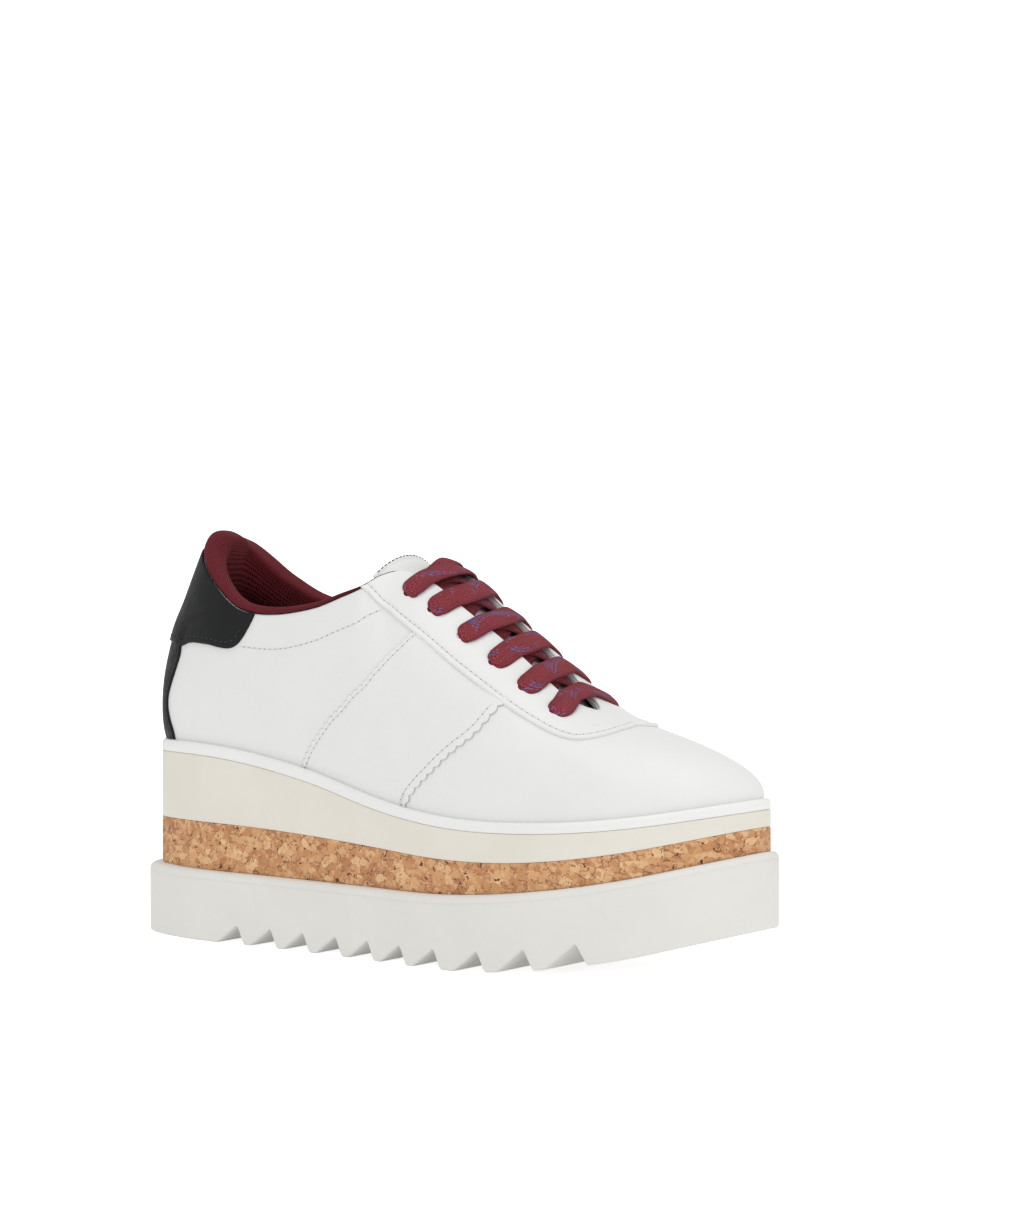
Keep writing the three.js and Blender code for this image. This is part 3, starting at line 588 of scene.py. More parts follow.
def shell(loop, up):
    """Outer face of the upper: loop runs round the shoe from the heel by the outer side, one unit a
    section, and up from 0 at the feather line to 1 at the top edge, along a cubic curve that leaves
    the sole with the section's lean and rise and comes to the edge by its reach and drop."""
    loop, up = np.broadcast_arrays(np.asarray(loop, float), np.asarray(up, float))
    even = 2 * HALF_TURN / LOOP
    foot_ring = ring_of(SECTIONS["foot"], 2 * HALF_TURN - SECTIONS["foot"])
    foot = smooth_ring(foot_ring - np.arange(LOOP) * even, loop) + loop * even
    read = {name: smooth_ring(ring_of(SECTIONS[name], SECTIONS[name]), loop)
            for name in ("along", "up", "lean", "rise", "reach", "drop")}
    aside = smooth_ring(ring_of(-SECTIONS["outer"], SECTIONS["inner"]), loop)
    out = np.concatenate([outline_normal(foot), np.zeros(loop.shape + (1,))], -1)
    flat = stepped(foot, FEATHER_INSET)
    start = np.concatenate([flat, over("rand", 0.3)(flat[..., 0])[..., None]], -1)
    end = np.stack([read["along"] * LENGTH, aside * BALL_WIDTH, BALL_HEIGHT + read["up"] * INSTEP], -1)
    z = np.array([0, 0, 1.0])
    low = start + out * read["lean"][..., None] + z * read["rise"][..., None]
    high = end + out * read["reach"][..., None] - z * read["drop"][..., None]
    t = up[..., None]
    s = 1 - t
    return start * s ** 3 + 3 * low * s * s * t + 3 * high * s * t * t + end * t ** 3


def shell_normal(loop, up):
    """Direction out of the upper: along the shoe crossed with up the section."""
    along = shell(loop + 0.05, up) - shell(loop - 0.05, up)
    rise = shell(loop, np.minimum(up + 0.01, 1)) - shell(loop, np.maximum(up - 0.01, 0))
    return unit(np.cross(along, rise))


def off_shell(loop, up, distance):
    """Point off the upper's outer face, out along its normal."""
    return shell(loop, up) + shell_normal(loop, up) * np.asarray(distance, float)[..., None]


def even_loops(first, last, count, up):
    """Loop positions evenly spaced by distance along the upper, at one share of its height."""
    fine = np.linspace(first, last, 3000)
    run = np.linalg.norm(np.diff(shell(fine, up), axis=0), axis=1)
    travelled = np.concatenate([[0], np.cumsum(run)])
    return np.interp(np.linspace(0, travelled[-1], count), travelled, fine)


# About the length of one section and the height of the leather, in mm
SECTION_LONG = 14.0
LEATHER_HIGH = 70.0


def soft_creases(loop, up):
    """Height of the leather's soft shapes: each trough or ridge is a bell across a short line, from
    one place on the upper to another, and fades out over the last third of its length."""
    height = np.zeros(np.broadcast(loop, up).shape)
    place = np.stack(np.broadcast_arrays(loop * SECTION_LONG, up * LEATHER_HIGH), -1)
    for start, end, wide, deep in CREASES:
        a = np.array([start[0] * SECTION_LONG, start[1] * LEATHER_HIGH])
        b = np.array([end[0] * SECTION_LONG, end[1] * LEATHER_HIGH])
        way = b - a
        share = ((place - a) @ way) / (way @ way)
        held = np.clip(share, 0, 1)
        apart = np.linalg.norm(place - (a + held[..., None] * way), axis=-1)
        fade = np.clip(np.minimum(held, 1 - held) * 3, 0, 1)
        height += deep * np.exp(-(apart / wide) ** 2) * (0.25 + 0.75 * fade)
    return height


# Each crease: where it starts and ends, as section and share of height, then width and depth, mm
CREASES = []
for side in (lambda s: s, lambda s: LOOP - s):
    CREASES += [
        ((side(16.3), 0.46), (side(17.6), 0.1), 7, -0.35),
        ((side(17.6), 0.5), (side(18.8), 0.16), 8, 0.3),
        ((side(15.2), 0.36), (side(15.9), 0.08), 6, -0.25),
        ((side(3.2), 0.12), (side(7.5), 0.1), 6, -0.3),
        ((side(4.2), 0.3), (side(7.2), 0.26), 9, 0.25),
        ((side(9.2), 0.6), (side(10.6), 0.36), 8, -0.3),
        ((side(12.3), 0.4), (side(13.2), 0.14), 7, 0.25),
        ((side(1.2), 0.18), (side(3.4), 0.24), 8, -0.2),
    ]


def shell_face(loop, up, distance=0.0):
    """The leather as it lies: the shell with its soft creases, a distance out."""
    return off_shell(loop, up, distance + soft_creases(loop, up))


def plate(front, back, keep=None, closed=False):
    """Closed shape between two equal grids of points: both faces, and a wall along each open edge.
    Gives points, faces, and each face's kind: 0 front, 1 back, 2 wall."""
    rows, columns = front.shape[:2]
    index = np.arange(rows * columns).reshape(rows, columns)
    if closed:
        index = np.hstack([index, index[:, :1]])
    quads = np.stack([index[:-1, :-1], index[:-1, 1:], index[1:, 1:], index[1:, :-1]], -1)
    quads = quads.reshape(-1, 4) if keep is None else quads[keep]
    total = rows * columns
    pairs = np.concatenate([quads[:, [k, (k + 1) % 4]] for k in range(4)])
    one_way = pairs[:, 0] * total + pairs[:, 1]
    other_way = pairs[:, 1] * total + pairs[:, 0]
    rim = pairs[~np.isin(one_way, other_way)]
    walls = np.stack([rim[:, 1], rim[:, 0], rim[:, 0] + total, rim[:, 1] + total], -1)
    faces = np.concatenate([quads, quads[:, ::-1] + total, walls])
    kinds = np.repeat([0, 1, 2], [len(quads), len(quads), len(walls)])
    points = np.concatenate([front.reshape(-1, 3), back.reshape(-1, 3)])
    used, faces = np.unique(faces, return_inverse=True)
    return points[used], faces.reshape(-1, 4), kinds


def eyelets():
    """Section and share of height of each lace hole of one side, evenly spaced."""
    share = np.linspace(0, 1, EYELETS)
    section = EYELET_BACK[0] + (EYELET_FRONT[0] - EYELET_BACK[0]) * share
    up = EYELET_BACK[1] + (EYELET_FRONT[1] - EYELET_BACK[1]) * share
    return section, up


def lace_holes():
    """Place and direction of every lace hole on both sides of the throat."""
    section, up = eyelets()
    loop = np.concatenate([section, LOOP - section])
    up = np.concatenate([up, up])
    return shell(loop, up), shell_normal(loop, up)


def punch(front, back, closed=False):
    """Punches the lace holes in a plate: drops the faces inside each hole's circle, and moves the
    points round it onto the circle. Gives the mask of faces to keep."""
    wide = np.concatenate([front, front[:, :1]], 1) if closed else front
    centres = (wide[:-1, :-1] + wide[:-1, 1:] + wide[1:, 1:] + wide[1:, :-1]) / 4
    keep = np.ones(centres.shape[:2], bool)
    spots, ways = lace_holes()
    for spot, way in zip(spots, ways):
        keep &= (np.linalg.norm(centres - spot, axis=-1) > LACE_HOLE) | (
            np.abs((centres - spot) @ way) > 6)
    lost = ~keep
    index = np.arange(front.shape[0] * front.shape[1]).reshape(front.shape[:2])
    index = np.hstack([index, index[:, :1]]) if closed else index
    corners = np.stack([index[:-1, :-1], index[:-1, 1:], index[1:, 1:], index[1:, :-1]], -1)
    rim = np.intersect1d(corners[lost], corners[keep])
    for grid in (front, back):
        points = grid.reshape(-1, 3)
        for spot, way in zip(spots, ways):
            near = rim[np.linalg.norm(points[rim] - spot, axis=-1) < 2.5 * LACE_HOLE]
            offset = points[near] - spot
            depth = (offset @ way)[:, None] * way
            points[near] = spot + depth + unit(offset - depth) * LACE_HOLE
    return keep


# Fine leather: pebbles under a tenth of a millimetre deep, pores, a slow change of tone, and
# painted shade that darkens the cracks between the pebbles
leather, leather_in, leather_out = new_group(
    "leather_grain",
    [("Place", "Vector", None), ("Colour", "Color", (0.8, 0.8, 0.8, 1)),
     ("Shade", "Color", (0.7, 0.7, 0.7, 1)), ("Pebbles", "Float", 1500.0), ("Roughness", "Float", 0.4)],
    [("Colour", "Color"), ("Height", "Float"), ("Roughness", "Float")],
)
pebble = add_node(leather, "ShaderNodeTexVoronoi", {
    "Vector": leather_in.outputs["Place"], "Scale": leather_in.outputs["Pebbles"]},
    feature="DISTANCE_TO_EDGE")
drift = add_node(leather, "ShaderNodeTexNoise", {
    "Vector": leather_in.outputs["Place"], "Scale": 22.0, "Detail": 5.0, "Roughness": 0.55})
pull = add_node(leather, "ShaderNodeTexNoise", {
    "Vector": leather_in.outputs["Place"], "Scale": 260.0, "Detail": 3.0})
valley = step_node(leather, pebble.outputs[0], 0.0, 0.22)
leather.links.new(
    sum_node(leather, "ADD", valley, sum_node(leather, "MULTIPLY", pull.outputs[0], 0.8)),
    leather_out.inputs["Height"])
drift_share = step_node(leather, drift.outputs[0], 0.35, 0.7)
# Painted shade: the colour darkens a little in the low cracks round each pebble.
crack_shade_share = sum_node(leather, "MULTIPLY", sum_node(leather, "SUBTRACT", 1.0, valley), 0.12)
leather.links.new(
    blend_node(leather, sum_node(leather, "ADD", crack_shade_share,
                                 sum_node(leather, "MULTIPLY", drift_share, 0.3), clamp=True),
               leather_in.outputs["Colour"], leather_in.outputs["Shade"]),
    leather_out.inputs["Colour"])
leather.links.new(
    sum_node(leather, "ADD", leather_in.outputs["Roughness"],
             step_node(leather, pull.outputs[0], 0.3, 0.7, -0.05, 0.07)),
    leather_out.inputs["Roughness"])


def leather_finish(name, colour, shade, pebbles, roughness, depth, finish=0.08, shine=0.5):
    """Leather: grain on the piece's own surface, under a thin finish."""
    material, tree, shader = new_finish(name, IOR=1.48, Coat_Weight=finish, Coat_Roughness=0.3,
                                        Specular_IOR_Level=shine)
    hide = use_group(tree, leather, Place=object_place(tree), Colour=colour, Shade=shade,
                     Pebbles=pebbles, Roughness=roughness)
    tree.links.new(hide.outputs["Colour"], shader.inputs["Base Color"])
    tree.links.new(hide.outputs["Roughness"], shader.inputs["Roughness"])
    bump(tree, shader, hide.outputs["Height"], depth, 0.45)
    return material


white_leather = leather_finish("white_leather", (0.80, 0.805, 0.79, 1), (0.74, 0.745, 0.735, 1),
                               1500.0, 0.42, 0.00005)
# Cut edge of the leather: a grey that is partly the edge's own colour and partly painted shade, dark enough
# to draw the shaded line along the pinked edges.
cut_edge_and_shade, cut_tree, cut_shader = new_finish("leather_cut_edge_and_shade", Roughness=0.75)
cut_fibre = add_node(cut_tree, "ShaderNodeTexNoise", {"Vector": object_place(cut_tree), "Scale": 2500.0})
cut_tree.links.new(blend_node(cut_tree, cut_fibre.outputs[0], (0.62, 0.61, 0.59, 1), (0.5, 0.49, 0.47, 1)),
                   cut_shader.inputs["Base Color"])
bump(cut_tree, cut_shader, cut_fibre.outputs[0], 0.0001, 0.5)

# Inner lining: the burgundy knit painted much darker than the collar's, painted shade for the inside of the
# shoe.
lining_with_painted_shade, inner_tree, inner_shader = new_finish("inner_lining_painted_shade", Roughness=0.95)
inner_place = object_place(inner_tree)
inner_knit = add_node(inner_tree, "ShaderNodeTexVoronoi", {"Vector": inner_place, "Scale": 700.0})
inner_tree.links.new(
    blend_node(inner_tree, step_node(inner_tree, inner_knit.outputs[0], 0.2, 0.6),
               (0.085, 0.008, 0.014, 1), (0.028, 0.003, 0.005, 1)), inner_shader.inputs["Base Color"])
bump(inner_tree, inner_shader, inner_knit.outputs[0], -0.0003, 0.6)

UPPER_COLUMNS = 560
UPPER_ROWS = 72
upper_loops = even_loops(0, LOOP, UPPER_COLUMNS + 1, 0.45)[:-1]
upper_ups = np.concatenate([np.linspace(0, 0.985, UPPER_ROWS - 2), [0.993, 1.0]])
loops, ups = np.meshgrid(upper_loops, upper_ups)
edge_round = np.where(ups > 0.999, -0.45, np.where(ups > 0.99, -0.1, 0.0))
upper_front = shell_face(loops, ups, edge_round)
upper_front[0, :, 2] -= 0.5
upper_back = off_shell(loops, ups, np.where(ups > 0.999, 0.3 - WALL, -WALL))
upper_keep = punch(upper_front, upper_back, closed=True)
upper_points, upper_faces, upper_kinds = plate(upper_front, upper_back, upper_keep, closed=True)
new_piece("upper_leather", (upper_points, upper_faces), [white_leather, lining_with_painted_shade, cut_edge_and_shade],
          ["upper"], kinds=upper_kinds)

# Panel edges: the middle panel of each side is laid over the heel panel and the vamp, and sewn
# down along both edges, which are pinked with small scallops. Each piece is the last stretch of
# that panel, and runs out level with the leather behind its edge.
HEEL_SEAM = [(14.3, 0.82), (13.3, 0.745), (12.52, 0.678), (11.71, 0.603), (10.55, 0.541),
             (9.71, 0.513), (8.63, 0.472), (8.13, 0.429), (7.58, 0.348), (7.31, 0.28), (7.09, 0.211),
             (6.88, 0.134), (6.73, 0.065), (6.59, -0.012)]
TOE_SEAM = [(15.7, 0.64), (15.31, 0.574), (14.32, 0.4), (13.36, 0.289), (12.09, 0.164), (10.92, 0.069),
            (10.35, -0.01)]
PINK_DEPTH = 1.15


def smooth_path(rows, count):
    """Curve through rows of numbers: a cubic blend through neighbours, count points evenly spaced."""
    rows = np.asarray(rows, float)
    wide = np.concatenate([2 * rows[:1] - rows[1:2], rows, 2 * rows[-1:] - rows[-2:-1]])
    t = np.linspace(0, len(rows) - 1, count)
    i = np.clip(t.astype(int), 0, len(rows) - 2)
    s = (t - i)[:, None]
    a, b, c, d = wide[i], wide[i + 1], wide[i + 2], wide[i + 3]
    bend = (2 * a - 5 * b + 4 * c - d) * s ** 2 + (3 * b - a - 3 * c + d) * s ** 3
    return 0.5 * (2 * b + (c - a) * s + bend)


def evenly(path, points, pitch):
    """The same path read again at even steps of distance along points in space."""
    travelled = np.concatenate([[0], np.cumsum(np.linalg.norm(np.diff(points, axis=0), axis=1))])
    steps = np.linspace(0, travelled[-1], max(int(round(travelled[-1] / pitch)), 2) + 1)
    return np.stack([np.interp(steps, travelled, column) for column in path.T], -1), steps


def seam_line(rows, side, pitch):
    """A seam given as rows of section and share of height, on one side of the foot, evenly read."""
    path = smooth_path(rows, 600)
    path[:, 0] = path[:, 0] if side < 0 else LOOP - path[:, 0]
    return evenly(path, shell(path[:, 0], path[:, 1]), pitch)


def beside(path, distance):
    """Places on the upper at a distance to the left of a path over it, in loop and up. The path's
    own slopes turn a step in millimetres into steps of loop and up."""
    loop, up = path[:, 0], path[:, 1]
    by_loop = (shell(loop + 0.02, up) - shell(loop - 0.02, up)) / 0.04
    by_up = (shell(loop, up + 0.004) - shell(loop, up - 0.004)) / 0.008
    way = unit(np.gradient(shell(loop, up), axis=0))
    way[-1] = way[-2]
    left = unit(np.cross(shell_normal(loop, up), way))
    aa, ab, bb = ((p * q).sum(-1) for p, q in ((by_loop, by_loop), (by_loop, by_up), (by_up, by_up)))
    la, lb = (left * by_loop).sum(-1), (left * by_up).sum(-1)
    scale = aa * bb - ab * ab
    step = np.stack([(la * bb - lb * ab) / scale, (lb * aa - la * ab) / scale], -1)
    return path + step * np.asarray(distance, float)[..., None]


def panel_edge(name, rows, side, ahead, first, tall, pitch):
    """Pinked edge of the middle panel along a seam, on one side of the foot. Rows of points run back
    from the edge, each at its height; first is where the edge lies ahead of the seam's line. The
    edge swings in and out by the sine of the distance travelled along it. Over its last 7 mm the
    rows sink into the leather, so nothing of its cut foot stands above the rand."""
    path, steps = seam_line(rows, side, 0.4)
    swing = PINK_DEPTH * np.abs(np.sin(math.pi * steps / pitch))
    back = np.array([0, 0.08, 0.25, 0.5, 0.9, 1.5, 2.1, 2.5, 2.9, 3.6, 5, 8, 11, 14])
    rise = np.array([0.1, 0.6, 0.88, 0.98, 1, 0.98, 0.88, 0.82, 0.86, 0.86, 0.74, 0.42, 0.16, -0.15]) * tall
    foot = 1 - np.clip((steps[-1] - steps) / 7, 0, 1)
    fronts, backs = [], []
    for m, h in zip(back, rise):
        held = swing * max(1 - m / 2.4, 0)
        place = beside(path, side * ahead * (m - held - first))
        lift = 0.03 + h - (h + 0.15) * foot * min(m / 3, 1)
        fronts.append(shell_face(place[:, 0], place[:, 1], lift))
        backs.append(shell_face(place[:, 0], place[:, 1], np.minimum(0.0, lift - 0.1)))
    points, faces, kinds = plate(np.array(fronts), np.array(backs))
    # The first two bands of the front, where the edge rises, take the cut-edge grey: painted shade along the
    # pinked edge.
    kinds[:2 * (len(path) - 1)] = 2
    new_piece(name, (points, faces), [white_leather, white_leather, cut_edge_and_shade],
              kinds=kinds, sharp=60)


for side, word in ((-1, "outer"), (1, "inner")):
    panel_edge(f"heel_panel_edge_{word}", HEEL_SEAM, side, -1, 1.4, 0.4, 3.3)
    panel_edge(f"vamp_panel_edge_{word}", TOE_SEAM, side, 1, 0.0, 0.85, 4.4)

# Back strip: black leather a millimetre thick up the middle of the heel, sewn over the join of
# the two sides, waisted a third of the way up.
BACK_STRIP = [(-0.01, 3.06), (0.065, 3.03), (0.14, 2.83), (0.21, 2.62), (0.27, 2.59), (0.33, 2.72),
              (0.42, 2.88), (0.51, 2.96), (0.56, 2.89), (0.64, 2.86)]
black_leather = leather_finish("black_leather", (0.0064, 0.0069, 0.0076, 1), (0.0104, 0.0111, 0.0121, 1),
                               1150.0, 0.5, 0.00007, 0.0, 0.22)
black_edge = leather_finish("black_cut_edge", (0.008, 0.008, 0.009, 1), (0.02, 0.02, 0.02, 1),
                            2500.0, 0.7, 0.0001, 0.0, 0.15)
strip_half = smooth_path(BACK_STRIP, 400)
strip_ups = np.linspace(-0.01, 0.6, 110)
strip_wide = np.interp(strip_ups, strip_half[:, 0], strip_half[:, 1])
EDGE_IN = np.array([0, 0.1, 0.3, 0.6, 1.0, 1.6, 2.2, 2.5, 2.8, 3.4])
EDGE_UP = np.array([0.15, 0.55, 0.85, 0.97, 1.0, 1.0, 0.92, 0.84, 0.92, 1.0])
strip_speed = np.linalg.norm(shell(strip_wide + 0.02, strip_ups) - shell(strip_wide - 0.02, strip_ups),
                             axis=-1) / 0.04
strip_in = EDGE_IN[:, None] / strip_speed
strip_middle = np.linspace(1, -1, 60)[:, None] * (strip_wide - strip_in[-1])
strip_loops = np.concatenate([strip_wide - strip_in[:-1], strip_middle, strip_in[:-1][::-1] - strip_wide])
strip_rise = np.concatenate([EDGE_UP[:-1], np.ones(60), EDGE_UP[:-1][::-1]])[:, None]
strip_places = np.broadcast_to(strip_ups, strip_loops.shape)
strip_points, strip_faces, strip_kinds = plate(
    shell_face(strip_loops, strip_places, 0.05 + 0.95 * strip_rise + 0 * strip_loops),
    shell_face(strip_loops, strip_places, 0.02))
new_piece("back_strip_leather", (strip_points, strip_faces), [black_leather, black_leather, black_edge],
          ["back_strip"], kinds=strip_kinds, sharp=60)

# Heel tab: a black leather cap over the back of the collar, with a dip over the strip and a round
# corner low on each side, then a raked front edge. Sewn round 2.4 mm in from its edge.
HEEL_TAB = [(0, 0.51), (1.2, 0.525), (2.2, 0.545), (2.88, 0.56), (3.33, 0.605), (3.98, 0.647),
            (4.45, 0.672), (4.81, 0.702), (5.03, 0.745), (5.19, 0.81), (5.34, 0.9), (5.46, 0.99)]
TAB_RISE = 3.2
tab_curve = smooth_path(HEEL_TAB, 800)


def edge_of(curve, loop):
    """Share of height of an overlay's edge at a place round the shoe, alike on both sides."""
    row = np.abs((loop + HALF_LOOP) % LOOP - HALF_LOOP)
    return np.interp(row, curve[:, 0], curve[:, 1])


def overlay_rows(loops, low, high, near, far, middle):
    """Rows of an overlay between a low edge and a high one, as shares of height: first at set
    distances square to the low edge, last at set distances under the high one, even between."""
    low_speed = np.linalg.norm(shell(loops, low + 0.004) - shell(loops, low - 0.004), axis=-1) / 0.008
    high_speed = np.linalg.norm(shell(loops, high) - shell(loops, high - 0.008), axis=-1) / 0.008
    edge_way = unit(np.gradient(shell(loops, low), axis=0))
    column_way = unit(shell(loops, low + 0.004) - shell(loops, low - 0.004))
    square = np.clip(np.linalg.norm(np.cross(edge_way, column_way), axis=-1), 0.3, 1)
    start = low + near[:, None] / (low_speed * square)
    end = high - far[:, None] / high_speed
    start = np.minimum(start, high)
    end = np.maximum(end, start[-1:])
    share = np.linspace(0, 1, middle + 2)[1:-1, None]
    between = start[-1] + (end[0] - start[-1]) * share
    return np.concatenate([start, between, end])


tab_loops = np.concatenate([[-5.455], even_loops(-5.44, 5.44, 300, 0.8), [5.455]])
tab_ups = overlay_rows(tab_loops, edge_of(tab_curve, tab_loops), np.full(len(tab_loops), 0.996),
                       EDGE_IN, np.array([0.5, 0.2, 0.0]), 34)
tab_rise = np.concatenate([EDGE_UP, np.ones(34), [1, 0.95, 0.7]])[:, None] * np.ones(len(tab_loops))
over_strip = np.exp(-np.clip(np.abs(tab_loops) - 2.6, 0, None) ** 2 / 0.12) * np.ones_like(tab_ups)
tab_seat = 0.05 + 0.9 * over_strip * (0.5 + 0.5 * np.cos(math.pi * np.clip((tab_ups - 0.58) / 0.2, 0, 1)))
tab_grid = np.broadcast_to(tab_loops, tab_ups.shape)
tab_front = shell_face(tab_grid, tab_ups, tab_seat + 0.95 * tab_rise)
tab_back = shell_face(tab_grid, tab_ups, np.full(tab_ups.shape, 0.02))
tab_lip = TAB_RISE * np.clip(1 - np.abs(tab_loops) / 4.4, 0, 1)[:, None] * unit(
    shell(tab_loops, 1.0) - shell(tab_loops, 0.97))
for k, share in ((-3, 0.5), (-2, 0.85), (-1, 1.0)):
    tab_front[k] += share * tab_lip
    tab_back[k] += share * tab_lip
tab_points, tab_faces, tab_kinds = plate(tab_front, tab_back)
new_piece("heel_tab_leather", (tab_points, tab_faces), [black_leather, black_leather, black_edge],
          ["heel_tab"], kinds=tab_kinds, sharp=60)

# Eyelet facing: one horseshoe of white leather round the throat, sewn on over the quarters. Its
# outer edge is folded under, which leaves a round welt with a stitched groove beside it.
FACING = [(9, 0.999), (9.95, 0.864), (10.6, 0.786), (11.33, 0.737), (12.05, 0.706), (13.13, 0.665),
          (14.02, 0.64), (14.9, 0.614), (15.8, 0.594), (16.47, 0.583), (17, 0.577), (17.35, 0.578),
          (17.8, 0.596), (18.7, 0.675), (19.85, 0.778), (20.84, 0.844), (21, 0.847)]
FACING_BACK = 9.0
WELT_IN = np.array([0, 0.08, 0.22, 0.45, 0.75, 1.1, 1.45, 1.75, 2.05, 2.35, 2.65, 2.95, 3.4, 4.2])
WELT_UP = np.array([0.1, 0.5, 0.85, 1.1, 1.22, 1.24, 1.16, 1.0, 0.8, 0.68, 0.7, 0.82, 0.92, 0.95])
facing_curve = smooth_path(FACING, 1200)
facing_loops = even_loops(FACING_BACK + 0.02, LOOP - FACING_BACK - 0.02, 560, 0.8)
facing_loops = np.concatenate([[FACING_BACK], facing_loops, [LOOP - FACING_BACK]])
facing_low = edge_of(facing_curve, facing_loops)
facing_ups = overlay_rows(facing_loops, facing_low, np.full(len(facing_loops), 0.998),
                          WELT_IN, np.array([1.2, 0.7, 0.35, 0.12, 0.0]), 22)
facing_rise = np.concatenate([WELT_UP, np.full(22, 0.95), [0.95, 0.92, 0.84, 0.62, 0.3]])[:, None]
facing_rise = facing_rise * np.ones(len(facing_loops))
facing_grid = np.broadcast_to(facing_loops, facing_ups.shape)
facing_front = shell_face(facing_grid, facing_ups, 0.04 + facing_rise)
facing_back = shell_face(facing_grid, facing_ups, np.full(facing_ups.shape, 0.02))
facing_keep = punch(facing_front, facing_back)
facing_points, facing_faces, facing_kinds = plate(facing_front, facing_back, facing_keep)
new_piece("eyelet_facing", (facing_points, facing_faces), [white_leather, white_leather, cut_edge_and_shade],
          ["facing"], kinds=facing_kinds, sharp=60)

# Collar: foam under burgundy knit mesh, rolled over the top edge of the leather and down inside.
# It is 10 mm thick round the heel and thins forwards to a narrow binding up the facing's edge.
COLLAR = np.array([
    (0, 9.5, 10.6, 30),
    (1.2, 9.4, 9.9, 30),
    (2.4, 9, 7.4, 29.5),
    (4, 8, 5.2, 28),
    (6, 6.5, 3.4, 26),
    (7.5, 4.5, 2.4, 22),
    (9, 3, 1.5, 14),
    (9.8, 2.6, 1, 9),
    (11, 2.5, 0.9, 7),
], dtype=[(name, float) for name in ("section", "thick", "high", "deep")])
COLLAR_RINGS = 170
COLLAR_AROUND = 44
COLLAR_CAP = 1.3


def share_below_top(loop, distance):
    """Share of the section's height at a distance below its top edge, measured down the leather."""
    share = np.linspace(1, 0.3, 141)
    lines = shell(loop[:, None], share[None, :])
    run = np.concatenate([np.zeros((len(loop), 1)),
                          np.cumsum(np.linalg.norm(np.diff(lines, axis=1), axis=-1), axis=1)], 1)
    return np.array([np.interp(d, r, share) for d, r in zip(distance, run)])


collar_loops = even_loops(-10.9, 10.9, COLLAR_RINGS, 1.0)
row = np.abs(collar_loops)
thick, high, deep = (np.interp(row, COLLAR["section"], COLLAR[name]) for name in ("thick", "high", "deep"))
high = high - 3 * np.exp(-((collar_loops + 1.1) / 0.95) ** 2)
high = high + 1.6 * np.exp(-((collar_loops + 4.8) / 0.9) ** 2)
collar_top = shell(collar_loops, 1.0)
collar_upward = unit(collar_top - shell(collar_loops, 0.97))
collar_out = shell_normal(collar_loops, np.ones_like(collar_loops))


def rim(rise, depth):
    """Places over the leather's top edge: a rise up from it and a depth in from its outer face."""
    rise, depth = np.broadcast_to(rise, row.shape), np.broadcast_to(depth, row.shape)
    return collar_top + collar_upward * rise[:, None] - collar_out * depth[:, None]


def inside(drop, depth):
    """Places a drop below the top edge and a depth in from the leather's outer face."""
    depth = np.broadcast_to(depth, row.shape)
    return off_shell(collar_loops, share_below_top(collar_loops, drop), -depth)


lining_gap = WALL + 0.25
lip = TAB_RISE * np.clip(1 - row / 4.4, 0, 1)
stand = high - lip
collar_section = [
    inside(deep, lining_gap + 0.3), inside(deep * 0.55, lining_gap), inside(deep * 0.2, lining_gap),
    rim(0.3, lining_gap), rim(0.35 + 0.2 * lip, 0.9), rim(0.45 + 0.8 * lip, 0.1 - 0.3 * (lip < 0.1)),
    rim(lip + stand * 0.35, -0.7), rim(lip + stand * 0.75, -0.25), rim(high * 0.97, thick * 0.2),
    rim(high, thick * 0.55), rim(high * 0.96, thick * 0.86), rim(high * 0.7, thick * 0.99),
    rim(high * 0.1, thick * 1.02), inside(deep * 0.35, thick + 0.3),
    inside(deep * 0.65, np.maximum(thick * 0.6, 2.6) + 1.2), inside(deep * 0.95, lining_gap + 1.5),
]
collar_ring = np.stack(collar_section, 1)
around_at = np.arange(COLLAR_AROUND) * len(collar_section) / COLLAR_AROUND
first = around_at.astype(int)
s = (around_at - first)[None, :, None]
a, b, c, d = (collar_ring[:, (first + k) % len(collar_section)] for k in (-1, 0, 1, 2))
collar_points = 0.5 * (2 * b + (c - a) * s + (2 * a - 5 * b + 4 * c - d) * s ** 2
                       + (3 * b - a - 3 * c + d) * s ** 3)


def tube_faces(rings, around):
    """Faces of a tube of closed rings with a face across each end, and each corner's place as ring
    and step round, which the weave follows."""
    quads = ring_faces(rings, around)
    r, c = np.meshgrid(np.arange(rings - 1), np.arange(around), indexing="ij")
    corners = np.stack([np.stack([r, c], -1), np.stack([r, c + 1], -1), np.stack([r + 1, c + 1], -1),
                        np.stack([r + 1, c], -1)], 2).reshape(-1, 2)
    ends = [list(range(around - 1, -1, -1)), list(range((rings - 1) * around, rings * around))]
    return quads.tolist() + ends, np.concatenate([corners, np.zeros((2 * around, 2))])


knit, knit_in, knit_out = new_group(
    "knit_mesh",
    [("Lay", "Vector", None), ("Pitch", "Float", 0.0011)],
    [("Hole", "Float"), ("Height", "Float")],
)
lay = add_node(knit, "ShaderNodeSeparateXYZ", {0: knit_in.outputs["Lay"]})
knit_v = sum_node(knit, "DIVIDE", lay.outputs[1], sum_node(knit, "MULTIPLY", knit_in.outputs["Pitch"], 0.8))
knit_row = sum_node(knit, "FLOOR", knit_v)
knit_u = sum_node(knit, "ADD", sum_node(knit, "DIVIDE", lay.outputs[0], knit_in.outputs["Pitch"]),
                  sum_node(knit, "MULTIPLY", sum_node(knit, "MODULO", knit_row, 2.0), 0.5))
cell_u = sum_node(knit, "SUBTRACT", sum_node(knit, "FRACT", knit_u), 0.5)
cell_v = sum_node(knit, "MULTIPLY", sum_node(knit, "SUBTRACT", sum_node(knit, "FRACT", knit_v), 0.5), 0.9)
